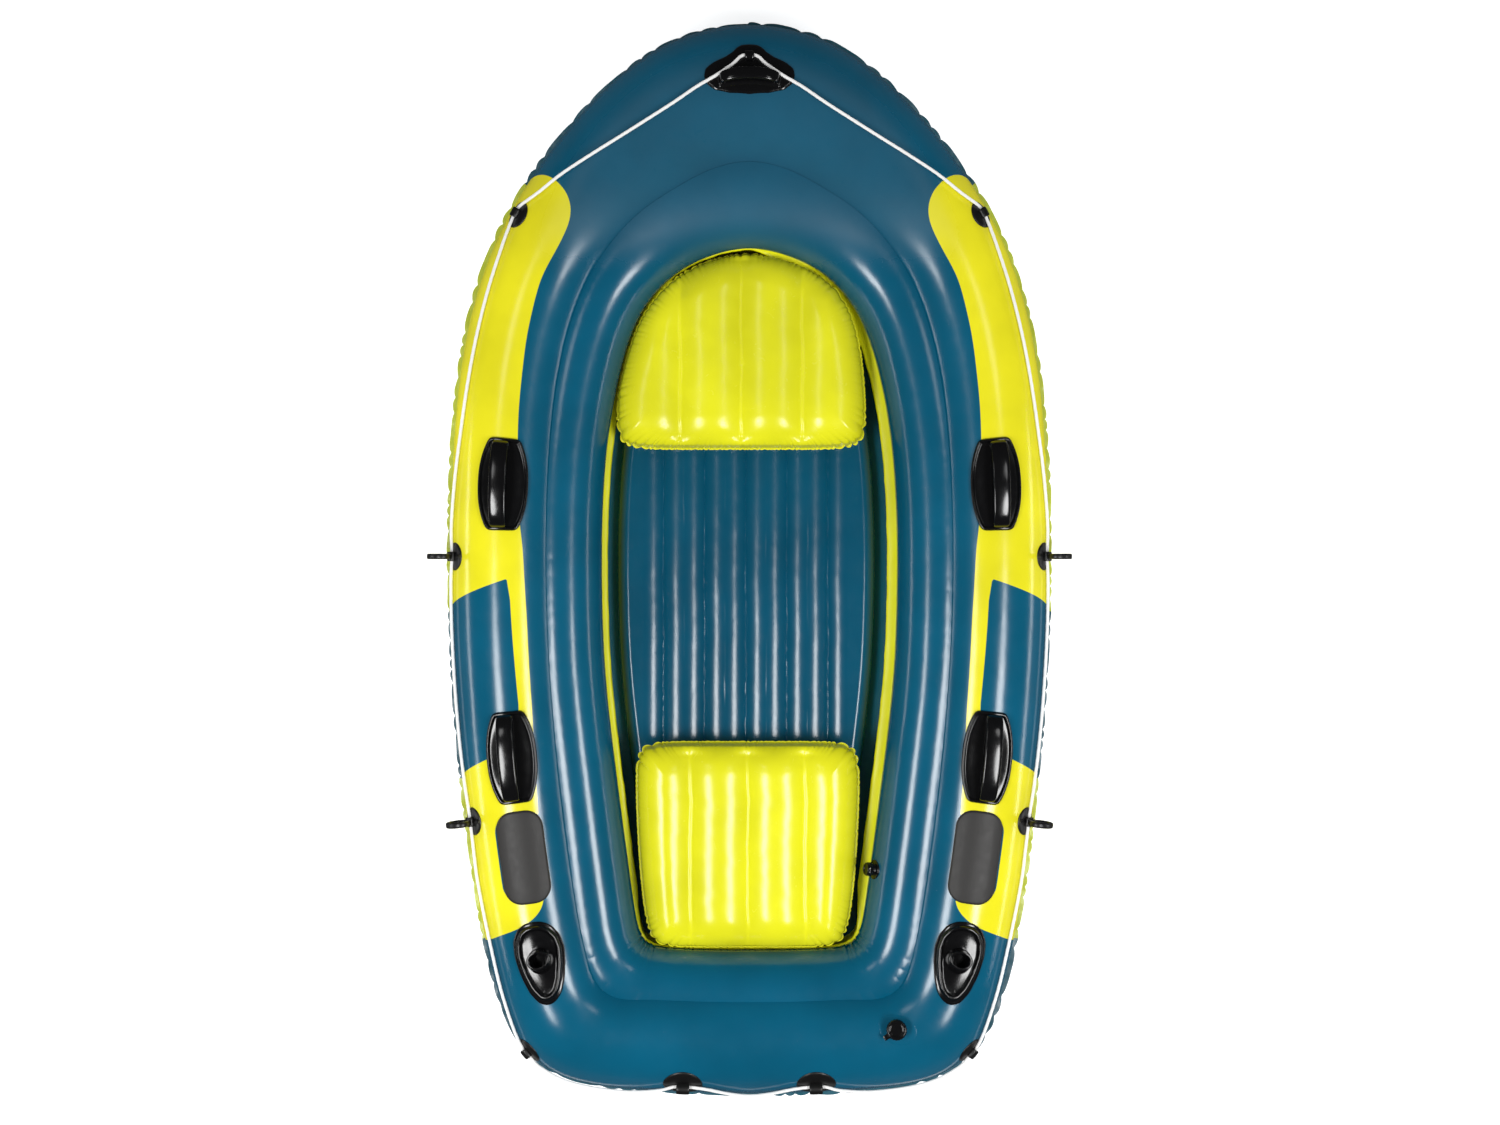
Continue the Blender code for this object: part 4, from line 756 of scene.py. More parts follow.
def braid_group(yarns: int = 8, pitch: float = 1400.0) -> bpy.types.NodeTree:
    """Return the group for braid: two sets of yarns crossing round the rope's own UV, darker
    between the yarns as painted shade.
    """
    tree, g, given = new_group("braid", ("Colour",), (), ("Colour", "Height"))
    uv = g.add("ShaderNodeSeparateXYZ",
               {0: g.add("ShaderNodeUVMap", uv_map="route").outputs["UV"]}).outputs
    waves = []
    for sign in (1.0, -1.0):
        turn = g.maths("ADD", g.maths("MULTIPLY", uv["X"], pitch),
                       g.maths("MULTIPLY", uv["Y"], yarns * 2 * math.pi * sign))
        waves.append(g.maths("SINE", turn, 0.0))
    height = g.span(g.maths("MULTIPLY", *waves), -1.0, 1.0, 0.0, 0.7)
    fibre = g.noise(g.place(), 1800.0, 2.0)
    shade = g.maths("ADD", height, g.maths("MULTIPLY", fibre, 0.3))
    # Painted shade: the white is darkened where the yarns sink between crossings; the fibre noise
    # adds a random tone.
    colour = g.mix(g.span(shade, 0.0, 0.8), g.shade(given["Colour"], 0.82), given["Colour"])
    g.add("NodeGroupOutput", {"Colour": colour, "Height": shade})
    return tree


COAT_ROUGHNESS = 0.12
PANEL_BLUR = 0.0004


@dataclass(frozen=True)
class Finish:
    """A material: its colour, sheen, record slot and the group that gives its detail."""

    name: str
    coat: Coat
    slot: str
    colour: tuple[float, float, float]
    roughness: float
    bump_mm: float = 0.02
    wear: float = 0.0
    coat_weight: float = 0.0
    second: tuple[float, float, float] | None = None

    def build(self, groups: dict[Coat, bpy.types.NodeTree]) -> bpy.types.Material:
        """Return the Principled material for this finish.

        Where a second colour is given, the mesh's attribute "panel" holds each point's
        distance from the edge of the second colour, below zero inside it.
        """
        material = bpy.data.materials.new(self.name)
        material.use_nodes = True
        g = Graph(material.node_tree)
        colour = (*self.colour, 1.0)
        if self.second is not None:
            share = g.span(g.attribute("panel"), -PANEL_BLUR, PANEL_BLUR, 1.0, 0.0)
            colour = g.mix(share, colour, (*self.second, 1.0))
        group = g.add("ShaderNodeGroup", node_tree=groups[self.coat])
        g.wire(group, {"Colour": colour})
        rough = self.roughness
        if "Roughness" in group.inputs:
            g.wire(group, {"Roughness": rough})
            rough = group.outputs["Roughness"]
        # The deck mask gives a rougher film and a painted shade in its colour.
        if "Dull" in group.inputs:
            g.wire(group, {"Dull": g.attribute("dull")})
        if "Wear" in group.inputs:
            g.wire(group, {"Wear": self.wear})
        bump = g.add("ShaderNodeBump", {"Height": group.outputs["Height"], "Strength": 1.0,
                                        "Distance": self.bump_mm / 1000})
        g.wire(material.node_tree.nodes["Principled BSDF"], {
            "Base Color": group.outputs["Colour"], "Normal": bump.outputs["Normal"],
            "Roughness": rough, "Coat Weight": self.coat_weight,
            "Coat Roughness": COAT_ROUGHNESS})
        return material


BLUE = (0.0013, 0.094, 0.171)
LIME = (0.820, 0.755, 0.014)
FINISHES = (
    Finish("hull_film", Coat.FILM, "hull_blue", BLUE, 0.19, second=LIME),
    Finish("roll_film", Coat.FILM, "hull_blue", BLUE, 0.19),
    Finish("seam_film", Coat.FILM, "seam_blue", (0.006, 0.090, 0.130), 0.40, 0.06,
           coat_weight=0.1, second=(0.48, 0.56, 0.04)),
    Finish("floor_film", Coat.FILM, "floor_blue", (0.0012, 0.076, 0.140), 0.19),
    Finish("seat_film", Coat.FILM, "lime", (0.760, 0.748, 0.012), 0.24),
    # The lining's lime is lighter than the panel's and the seats': painted light that makes up
    # for the shade in the gap round the floor.
    Finish("lining_film", Coat.FILM, "lime", (0.930, 0.910, 0.004), 0.42, 0.04),
    Finish("gloss_rubber", Coat.MOULDED, "gloss_black", (0.004, 0.004, 0.0045), 0.13, 0.012,
           0.2),
    Finish("satin_rubber", Coat.MOULDED, "gloss_black", (0.006, 0.006, 0.006), 0.34, 0.03, 0.3),
    Finish("matt_rubber", Coat.MOULDED, "matt_black", (0.016, 0.0145, 0.0135), 0.50, 0.09, 0.3),
    Finish("rope_yarn", Coat.BRAID, "rope_white", (0.96, 0.96, 0.95), 0.75, 0.30),
)


def shown(name: str, data: bpy.types.ID) -> bpy.types.Object:
    """Return a new object in the scene, made from a mesh, a light or a camera."""
    thing = bpy.data.objects.new(name, data)
    bpy.context.scene.collection.objects.link(thing)
    return thing


@dataclass
class Workshop:
    """The hull's shape, the finishes and the adding of pieces."""

    shape: HullShape
    finishes: dict[str, bpy.types.Material]

    def add(self, name: str, shell: Shell, finish: str, *nodes: str, body: str = "hull",
            crease_deg: float = 45.0) -> bpy.types.Object:
        """Add a piece that rides on a body and stands for CAD nodes.

        Args:
            name: The piece's name.
            shell: Its closed mesh.
            finish: The name of its finish.
            nodes: The CAD nodes that it replaces.
            body: The body that it rides on.
            crease_deg: The angle above which an edge is shaded sharp.
        Returns:
            The new object.
        """
        mesh = bpy.data.meshes.new(name)
        mesh.from_pydata(shell.points, [], shell.faces)
        tidy = bmesh.new()
        tidy.from_mesh(mesh)
        bmesh.ops.recalc_face_normals(tidy, faces=tidy.faces)
        tidy.to_mesh(mesh)
        tidy.free()
        mesh.shade_smooth()
        mesh.set_sharp_from_angle(angle=math.radians(crease_deg))
        piece = shown(name, mesh)
        mesh.materials.append(self.finishes[finish])
        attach(piece, body)
        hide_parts(*nodes)
        LOG.info("%s: %d points", name, len(mesh.vertices))
        return piece

    def lay(self, name: str, shell: Shell, finish: str, node: str, place: float,
            angle_deg: float = TOP_DEG, crease_deg: float = 60.0) -> None:
        """Add a fitting wrapped round the outer tube at a place and an angle."""
        spot = Patch(self.shape, place, angle_deg)
        self.add(name, shell.moved(spot.wrap), finish, node, crease_deg=crease_deg)

    def pair(self, name: str, shell: Shell, finish: str, node: str, share: float,
             angle_deg: float = TOP_DEG, crease_deg: float = 60.0) -> None:
        """Add a fitting on each side, at a share of the way from the bow to the stern."""
        for side in Side:
            self.lay(f"{name}_{side.label}", shell, finish, f"{node}_{side.label}",
                     side.value * share * HALF, angle_deg, crease_deg)


def set_attribute(piece: bpy.types.Object, name: str, values: Array) -> None:
    """Store one float for each vertex of a piece."""
    layer = piece.data.attributes.new(name, "FLOAT", "POINT")
    layer.data.foreach_set("value", values.astype(np.float32).ravel())


# The hull

@dataclass
class Hull:
    """The two inflated chambers and the weld flange round them."""

    shop: Workshop
    tube_grid: tuple[int, int] = (960, 96)
    roll_grid: tuple[int, int] = (1320, 64)
    flange_rows: int = 1800
    chamber_gap: float = 0.0008
    scallop_pitch: float = 0.040
    scallop_depth: float = 0.0072
    scallop_seed: float = 0.4
    flange_root: float = 0.0012
    flange_least: float = 0.0036
    flange_wave: float = 0.0016
    flange_half: float = 0.0006
    weld_reach: float = 0.016
    pucker_depth: float = 0.0016
    unevenness: float = 0.00016
    fan_depth: float = 0.0020
    fan_angle: float = 0.10
    fan_spread: float = 0.55
    roll_weld_depth: float = 0.0010
    roll_weld_pitch: float = 0.046
    roll_weld_seed: float = 1.9
    roll_weld_spread: float = 0.02
    tight_gain: float = 1.5
    pad_share: float = 0.715
    pad_size: tuple[float, float] = (0.206, 0.110)
    pad_corner: float = 0.042
    panel_stretch: float = 1.10
    panel_span: tuple[float, float] = (0.13, 0.81)
    # The bow deck's mask of rougher film and painted shade: its stretch across, centre and rim,
    # and its start along y.
    dull_stretch: float = 0.80
    dull_centre: float = 0.45
    dull_rim: tuple[float, float] = (0.54, 0.10)
    dull_start: tuple[float, float] = (0.60, 0.24)
    tight_bend: tuple[float, float] = (5.0, 9.0)

    def build(self) -> None:
        """Add the outer tube, the inner roll and the flange."""
        self.build_tube()
        self.build_roll()
        self.build_flange()

    def panel_distance(self, places: Array, angles: Array) -> Array:
        """Return the distance from the lime panels' edge, below zero inside them.

        Places and angles become metres along and round the tube. The panels are the outline
        less the notch, and less a blue margin round each wear pad.

        Args:
            places: Places from 0 to 88, any shape.
            angles: Angles in radians, the same shape.
        Returns:
            Distances of that shape.
        """
        share = np.abs(np.where(places > HALF, places - PLACES, places)) / HALF
        scale = np.array([self.shop.shape.run / 2 * self.panel_stretch, self.shop.shape.tube])
        points = np.column_stack([share.ravel(), angles.ravel()]) * scale
        outline, notch = (np.array([(s, math.radians(a)) for s, a in table]) * scale
                          for table in (PANEL_OUTLINE, NOTCH_OUTLINE))
        low, high = self.panel_span
        near = (share.ravel() > low) & (share.ravel() < high)
        result = np.full(len(points), 0.2)
        panel = signed_distance(points[near], smooth_loop(outline, 360, 2))
        hole = signed_distance(points[near], notch)
        pad = np.abs(points[near] - np.array([self.pad_share, math.pi / 2]) * scale) \
            - np.array(self.pad_size) / 2 + self.pad_corner
        pad = np.linalg.norm(np.maximum(pad, 0), axis=1) - self.pad_corner
        result[near] = np.maximum(np.maximum(panel, -hole), -pad)
        return result.reshape(places.shape)

    def build_tube(self) -> None:
        """Add the outer tube with puckers along its weld and a slightly uneven skin."""
        rows, sides = self.tube_grid
        places = np.arange(rows) * PLACES / rows
        st = self.shop.shape.stations(places)
        angle = (full_turn(sides) - math.pi / 2)[None]
        near_weld = np.exp(-(np.sin(angle / 2) * 2 * st.radius / self.weld_reach) ** 2)
        valleys = 1 - lobes(st.run, self.scallop_pitch, self.scallop_seed)
        uneven = self.unevenness * ripple(st.run + 0.11 * angle, *TUBE_SWELL)
        uneven *= np.clip(np.sin(angle) + 0.6, 0, 1)
        grid = st.tube(angle, -self.pucker_depth * near_weld * valleys + uneven)
        piece = self.shop.add("outer_chamber", torus(grid), "hull_film", "outer_tube")
        wide = np.broadcast_to(places[:, None], grid.shape[:2])
        tall = np.broadcast_to(angle, grid.shape[:2])
        set_attribute(piece, "panel", self.panel_distance(wide, tall))
        set_attribute(piece, "dull", self.dullness_and_deck_shade(grid))

    def dullness_and_deck_shade(self, grid: Array) -> Array:
        """Return the bow deck's mask, 1 on the deck and 0 elsewhere: a rougher film, and a
        painted shade that darkens its colour.
        """
        x, y = grid[..., 0], grid[..., 1]
        reach = np.hypot(x / self.dull_stretch, y - self.dull_centre)
        return (1 - smoothstep(reach, *self.dull_rim)) * smoothstep(y, *self.dull_start)

    def build_roll(self) -> None:
        """Add the inner roll, with wrinkles that fan out where its edge bends tightly."""
        rows, sides = self.roll_grid
        st = self.shop.shape.around(rows)
        upper = st.roll_meets_tube(1, self.chamber_gap)
        lower = st.roll_meets_tube(-1, self.chamber_gap)
        t = np.linspace(0, 1, sides)[None]
        angle = upper + (lower - upper) * t
        tight = smoothstep(st.bend, *self.tight_bend)
        inner = np.exp(-((angle - self.fan_angle) / self.fan_spread) ** 2)
        fan = self.fan_depth * tight * inner * ripple(st.run, *ROLL_FAN)
        valleys = 1 - lobes(st.run, self.roll_weld_pitch, self.roll_weld_seed)
        welds = -self.roll_weld_depth * np.exp(-(angle - upper) ** 2 / self.roll_weld_spread) \
            * valleys * (1 + self.tight_gain * tight)
        uneven = self.unevenness * ripple(st.run + 0.09 * angle, *ROLL_SWELL)
        fade = np.minimum(1, np.minimum(t, 1 - t) * 14)
        face = st.roll(angle, (fan + welds + uneven) * fade)
        ends = st.roll(np.hstack([upper, lower]))
        out = np.einsum("nmd,nd->nm", ends[..., :2] - st.edge[:, None], st.normal)
        turn = np.arctan2(ends[..., 2] - st.axis_z, out - st.centre) % (2 * math.pi)
        back_t = np.linspace(1, 0, 12)[None, 1:-1]
        back = st.tube(turn[:, :1] + (turn[:, 1:] - turn[:, :1]) * back_t, self.chamber_gap)
        grid = np.concatenate([face, back], axis=1)
        piece = self.shop.add("inner_chamber", torus(grid), "roll_film", "inner_tube")
        set_attribute(piece, "dull", self.dullness_and_deck_shade(grid))

    def build_flange(self) -> None:
        """Add the weld flange, scalloped and a little ruffled along its edge."""
        places = np.arange(self.flange_rows) * PLACES / self.flange_rows
        st = self.shop.shape.stations(places)
        lobe = lobes(st.run, self.scallop_pitch, self.scallop_seed)
        strength = 0.75 + 0.35 * ripple(st.run, *FLANGE_GROWTH)
        far = self.flange_root + self.flange_least + self.scallop_depth * lobe * strength
        wave = self.flange_wave * ripple(st.run, *FLANGE_RUFFLE)
        root = np.zeros_like(far) - self.flange_root
        upper = [root, far * 0.35, far * 0.75, far]
        level = np.array([[0.0, 0.3, 0.8, 1.0, 1.0, 0.8, 0.3, 0.0]])
        skin = np.array([[-1, -1, -1, -0.7, 0.7, 1, 1, 1]]) * self.flange_half
        grid = st.point(st.band + np.hstack([*upper, *upper[::-1]]),
                        st.axis_z + wave * level + skin)
        piece = self.shop.add("weld_flange", torus(grid), "seam_film", "seam_flange")
        wide = np.broadcast_to(places[:, None], grid.shape[:2])
        set_attribute(piece, "panel", self.panel_distance(wide, np.zeros_like(wide)))


# The cockpit

@dataclass
class Cockpit:
    """The lining with its fin and crimped lip, and the ribbed floor mat."""

    shop: Workshop
    lining_rows: int = 1500
    sheet: float = 0.0018
    wall: float = 0.003
    right_reach: float = 0.019
    left_reach: float = 0.010
    stern_fade: tuple[float, float] = (-0.852, 0.16)
    right_fade: tuple[float, float] = (0.0, 0.35)
    left_fade: tuple[float, float] = (0.55, 0.35)
    fin_drop: float = 0.024
    fin_rise: float = 0.016
    fin_gap: float = 0.0012
    fin_least: float = 0.004
    fin_full: float = 0.03
    fin_wave: float = 0.0007
    lip_crimp: float = 0.0009
    lip_steps: tuple[float, ...] = (0.0016, -0.0026, -0.0030, -0.0006)
    lip_drops: tuple[float, ...] = (0.0075, 0.0060, 0.0030, 0.0)
    foot_steps: tuple[float, float] = (0.003, 0.002)
    film: float = 0.0016
    mat_grid: tuple[int, int] = (236, 330)
    mat_inset: float = 0.025
    mat_thickness: float = 0.050
    mat_channel: float = 0.0915
    mat_seams: int = 5
    mat_shift: float = -0.0087
    mat_edge: float = 0.030
    mat_arc: float = 0.083
    mat_relief: float = 0.27
    mat_least: float = 0.0014
    mat_right_gap: float = 0.0075
    mat_wander: float = 0.0010
    mat_pinch: float = 0.020
    mat_pinch_reach: float = 0.0022
    mat_fold: float = 0.008
    mat_fold_reach: float = 0.007
    mat_swell: float = 0.010

    def build(self) -> None:
        """Add the lining and the mat."""
        self.build_lining()
        self.build_mat()

    def build_lining(self) -> None:
        """Add the side wall round the floor; its fin turns outward with a slight wave, above a
        crimped lip.
        """
        st = self.shop.shape.around(self.lining_rows)
        side = st.normal[:, :1]
        taper = smoothstep(st.edge[:, 1:], *self.stern_fade)
        wall = self.wall - self.right_reach * smoothstep(side, *self.right_fade) * taper \
            - self.left_reach * smoothstep(-side, *self.left_fade) * taper
        tip = st.roll_z - self.fin_drop
        bulge = st.roll_width * (1 - np.sqrt(1 - (self.fin_drop / st.roll_height) ** 2))
        reach = np.maximum(bulge - self.fin_gap, wall + self.fin_least)
        shoulder = tip - self.fin_rise * np.clip((reach - wall) / self.fin_full, 0.2, 1)
        t = np.linspace(0, 1, 9)[None]
        fin_out = wall + (reach - wall) * t
        fin_z = shoulder + (tip - shoulder) * (0.35 * t + 0.65 * t ** 1.6)
        fin_z = fin_z + self.fin_wave * ripple(st.run, *FIN_WAVE) * np.sin(t * math.pi)
        foot = np.full_like(tip, self.sheet)
        lip = np.hstack([wall + step for step in self.lip_steps])
        lip_z = np.hstack([shoulder - drop for drop in self.lip_drops])
        lip = lip + self.lip_crimp * ripple(st.run, *LIP_CRIMP) * np.array([[0.0, 1.0, 1.0, 0.0]])
        outer = np.hstack([*(wall + step for step in self.foot_steps), lip, fin_out[:, 1:]])
        heights = np.hstack([foot, foot + (shoulder - foot) * 0.55, lip_z, fin_z[:, 1:]])
        back = outer[:, ::-1] + self.film * 0.7
        back_z = np.maximum(heights[:, ::-1] - self.film * 0.7, self.sheet)
        grid = st.point(np.hstack([outer, back]), np.hstack([heights, back_z]))
        self.shop.add("side_lining", torus(grid), "lining_film", "cockpit_lining",
                      crease_deg=80.0)

    def build_mat(self) -> None:
        """Add the floor mat: round channels drawn in along straight welds.

        Between two welds the top rises like a flattened half round. Close to a weld it is
        pinched by small folds across the weld.
        """
        loop = self.shop.shape.cockpit
        normal = normals_of(loop)
        loop = loop - normal * (self.mat_inset + self.mat_right_gap * (1 + normal[:, :1]))
        x, y = self.mat_plan(loop)
        inside = -signed_distance(np.column_stack([x.ravel(), y.ravel()]), loop[::4])
        rise = quarter_round(inside.reshape(x.shape), self.mat_edge)
        seams = self.mat_shift + self.mat_channel * (np.arange(self.mat_seams)
                                                     - (self.mat_seams - 1) / 2)
        wander = self.mat_wander * ripple(y, *MAT_WANDER)
        gap = np.abs((x + wander)[..., None] - seams)
        away, nearest = gap.min(axis=-1), gap.argmin(axis=-1)
        u = np.clip(1 - away / (self.mat_channel / 2), 0, 1)
        crown = 1 - self.mat_relief * (1 - arc_profile(u, self.mat_channel / 2, self.mat_arc))
        folds = ripple(y + 0.013 * nearest, *MAT_FOLDS)
        pinch = 1 - self.mat_pinch * np.exp(-(away / self.mat_pinch_reach) ** 2) \
            - self.mat_fold * np.exp(-away / self.mat_fold_reach) * folds
        swell = 1 + self.mat_swell * ripple(y + 0.4 * nearest, *MAT_SWELL)
        height = np.maximum(self.mat_thickness * rise * crown * pinch * swell, self.mat_least)
        shell = self.footed(np.dstack([x, y, self.sheet + height]))
        piece = self.shop.add("ribbed_floor", shell, "floor_film", "floor_mat")

    def mat_plan(self, loop: Array) -> tuple[Array, Array]:
        """Return a grid of x and y that fills the mat's outline, closer at its edges."""
        rows, columns = self.mat_grid
        share, t = (np.linspace(0, 1, count) for count in (rows, columns))
        share = 0.6 * share + 0.4 * (0.5 - 0.5 * np.cos(math.pi * share))
        t = 0.85 * t + 0.15 * (0.5 - 0.5 * np.cos(math.pi * t))
        low, high = loop[:, 1].min(), loop[:, 1].max()
        y = low + (high - low) * share
        is_right = loop[:, 0] >= loop[:, 0].mean()
        ends = []
        for half in (loop[~is_right], loop[is_right]):
            half = half[np.argsort(half[:, 1])]
            ends.append(np.interp(y, half[:, 1], half[:, 0])[:, None])
        x = ends[0] + (ends[1] - ends[0]) * t[None]
        return x, np.broadcast_to(y[:, None], x.shape)

    def footed(self, top: Array) -> Shell:
        """Return a grid (n, m, 3) closed by a wall round it and a flat fan below."""
        n, m = top.shape[:2]
        rim = np.concatenate([np.arange(m), np.arange(1, n) * m + m - 1,
                              (n - 1) * m + np.arange(m - 1)[::-1],
                              np.arange(1, n - 1)[::-1] * m])
        foot = top.reshape(-1, 3)[rim] * (1, 1, 0) + (0, 0, self.sheet)
        points = np.vstack([top.reshape(-1, 3), foot, foot.mean(axis=0)])
        lower = n * m + np.arange(len(rim))
        following = np.roll(lower, -1)
        wall = np.column_stack([rim, lower, following, np.roll(rim, -1)])
        fan = np.column_stack([lower, np.full(len(rim), len(points) - 1), following])
        return Shell(points, grid_faces(n, m, False, False).tolist() + wall.tolist()
                     + fan.tolist())


@dataclass(frozen=True)
class SeatPlan:
    """A seat's outline and its seams in the plan, in metres."""

    name: str
    shares: tuple
    length: float
    width: float
    front_y: float
    centre_x: float
    seams: tuple[float, float, float]
    seam_ends: tuple[float, float]


SEATS = (
    SeatPlan("front_seat", FRONT_SEAT_SHARES, 0.436, 0.546, 0.686, -0.018,
             (-0.150, -0.018, 0.114), (0.256, 0.681)),
    SeatPlan("rear_seat", REAR_SEAT_SHARES, 0.452, 0.490, -0.385, -0.004,
             (-0.128, -0.004, 0.120), (-0.869, -0.391)),
)


@dataclass
class Seat:
    """An inflated seat: welded edge, three lengthwise creases and puckers all round.

    The puckers' pitch, pull and pinch are given for a straight edge, with what a corner adds.
    """

    shop: Workshop
    plan: SeatPlan
    base_z: float = 0.0521
    thickness: float = 0.130
    edge: float = 0.075
    weld: float = 0.003
    least: float = 0.0007
    clearance: float = 0.002
    bow_clearance: float = 0.001
    bow_reach: float = 0.1235
    bow_run: float = 0.070
    crease_depth: float = 0.34
    crease_arc: float = 0.106
    seam_fade: float = 0.024
    valley: float = 0.0030
    valley_lift: float = 0.0008
    wander: float = 0.0022
    wander_length: float = 0.040
    weld_rise: float = 0.006
    swell: float = 0.012
    corner_bend: float = 9.0
    pitch: tuple[float, float] = (0.0095, 0.0175)
    pull: tuple[float, float] = (0.0024, 0.0058)
    pull_reach: float = 0.012
    pinch: tuple[float, float] = (0.12, 0.16)
    pinch_reach: float = 0.009
    around: int = 600
    rings: int = 82

    def outline(self) -> Array:
        """Return the outline kept clear of the cockpit's edge, as the CAD seat is."""
        plan, shape = self.plan, self.shop.shape
        outline = plan_outline(plan.shares, plan.length, plan.width, plan.front_y, plan.centre_x)
        edge = shape.cockpit
        normal = normals_of(edge)
        nearest = np.linalg.norm(outline[:, None] - edge[None], axis=2).argmin(axis=1)
        bow = smoothstep(outline[:, 1] - shape.cockpit_front, -self.bow_reach, self.bow_run)
        clearance = self.clearance + bow * self.bow_clearance
        excess = np.sum((outline - edge[nearest]) * normal[nearest], axis=1) + clearance
        return outline - normal[nearest] * np.maximum(excess, 0)[:, None]

    def build(self) -> None:
        """Add the seat."""
        name, seed = self.plan.name, len(self.plan.name)
        loop = resampled(self.outline(), self.around)
        inward = -normals_of(loop)
        centre = loop.mean(axis=0)
        step = np.linalg.norm(loop[1] - loop[0])
        bend = np.linalg.norm(chord(inward, 6), axis=1) / (12 * step)
        corner = smoothstep(bend, 0.0, self.corner_bend)
        phase = np.cumsum(step / (self.pitch[0] + self.pitch[1] * corner))
        phase += 0.30 * np.sin(phase * 0.83 + seed) + 0.2 * np.sin(phase * 2.31)
        phase *= round(phase[-1]) / phase[-1]
        valley = 1 - np.abs(np.sin(math.pi * phase)) ** 0.6
        t = np.linspace(0, 1, self.rings)[:, None]
        r = 1 - (0.25 * t + 0.75 * t ** 1.8)
        base = centre + (loop - centre)[None] * r[..., None]
        inside = -signed_distance(base.reshape(-1, 2), loop[::3]).reshape(r.shape[0], -1)
        inside = np.maximum(inside, 0)
        pull_in = ((self.pull[0] + self.pull[1] * corner) * valley)[None] \
            * np.exp(-inside / self.pull_reach)
        flat = base + inward[None] * pull_in[..., None]
        rise = quarter_round(inside, self.edge)
        rise = np.clip((inside - self.weld) / self.weld_rise, 0, 1) ** 0.5 * rise
        pinch = 1 - (self.pinch[0] + self.pinch[1] * corner)[None] * valley[None] ** 1.2 \
            * np.exp(-inside / self.pinch_reach)
        swell = 1 + self.swell * ripple(flat[..., 1] + 0.6 * flat[..., 0], *SEAT_SWELL)
        half = self.thickness / 2 * rise * pinch * (1 - self.creases(flat, seed)) * swell
        half = np.maximum(half, self.least)
        middle = self.base_z + self.thickness / 2
        top, under = np.dstack([flat, middle + half]), np.dstack([flat, middle - half])
        piece = self.shop.add(f"{name}_cushion", capped(np.concatenate([under[::-1], top])),
                              "seat_film", name, body=name)

    def creases(self, flat: Array, seed: int) -> Array:
        """Return the depth of the three seams' creases as a share of the half thickness."""
        low, high = self.plan.seam_ends
        along = np.clip((flat[..., 1] - low) / self.seam_fade, 0, 1) \
            * np.clip((high - flat[..., 1]) / self.seam_fade, 0, 1)
        half_channel = (self.plan.seams[1] - self.plan.seams[0]) / 2
        wander = self.wander * ripple(flat[..., 1], seed, self.wander_length)
        away = np.abs((flat[..., 0] + wander)[..., None] - np.array(self.plan.seams)).min(axis=-1)
        away = np.sqrt(away ** 2 + self.valley ** 2) - self.valley_lift
        u = np.clip(1 - away / half_channel, 0, 1)
        crease = self.crease_depth * (1 - arc_profile(u, half_channel, self.crease_arc))
        return crease * smoothstep(along)


# Fittings on the tube

@dataclass
class SideHandles:
    """Four carry grips: a rimmed plate with a strap arched over it."""

    shop: Workshop
    places: tuple = (("front", 0.3975), ("rear", 0.629))
    length: float = 0.196
    width: float = 0.108
    end: float = 0.064
    rim_round: float = 0.0022
    strap_length: float = 0.176
    strap: tuple[float, float] = (0.031, 0.009)
    strap_height: float = 0.040
    outboard: float = 0.006
    overrun: float = 0.06
    blunt: float = 0.60
    lean_in: float = 0.06
    waist: float = 0.10

    def outline(self) -> Array:
        """Return the plate's barrel outline, with straight ends and bowed flanks."""
        t = np.linspace(-1, 1, 15)
        flank = self.end / 2 + (self.width - self.end) / 2 * (1 - np.abs(t) ** 2.4)
        x = t * self.length / 2
        loop = np.vstack([np.column_stack([x, flank]), np.column_stack([x, -flank])[::-1]])
        return smooth_loop(loop, 200, 3)

    def build(self) -> None:
        """Add the grips on both sides."""
        base = plate(self.outline(), rounded(GRIP_RIM, self.rim_round), 6)
        c, s, lift = arch(self.overrun, 64, self.blunt)
        path = np.column_stack([c * (self.strap_length / 2) * (1 - self.lean_in * s * s),
                                np.full_like(c, self.outboard),
                                lift * (self.strap_height - self.strap[1] / 2)])
        sides = 40
        strap = sweep(path, ACROSS, superellipse(*self.strap, 4.5, sides))
        dip = 1 - self.waist * np.clip(s, 0, 1) ** 0.5
        strap.points[:-2, 1] = self.outboard \
            + (strap.points[:-2, 1] - self.outboard) * np.repeat(dip, sides)
        for label, share in self.places:
            self.shop.pair(f"grip_{label}", joined(base, strap), "gloss_rubber",
                           f"side_handle_{label}", share)


@dataclass
class WearPads:
    """Two soft matt pads behind the rear grips."""

    shop: Workshop
    share: float = 0.715
    length: float = 0.198
    width: float = 0.102
    corner: float = 0.038
    thick: float = 0.0042
    crown: float = 0.0008
    edge_round: float = 0.0025

    def build(self) -> None:
        """Add the pads."""
        outline = rounded_rectangle(self.length, self.width, self.corner)
        profile = ((0.0, -0.001), (0.0, self.thick * 0.55), (0.004, self.thick),
                   (0.020, self.thick + self.crown))
        pad = plate(outline, rounded(profile, self.edge_round), 8)
        self.shop.pair("pad", pad, "matt_rubber", "wear_pad", self.share, crease_deg=45.0)


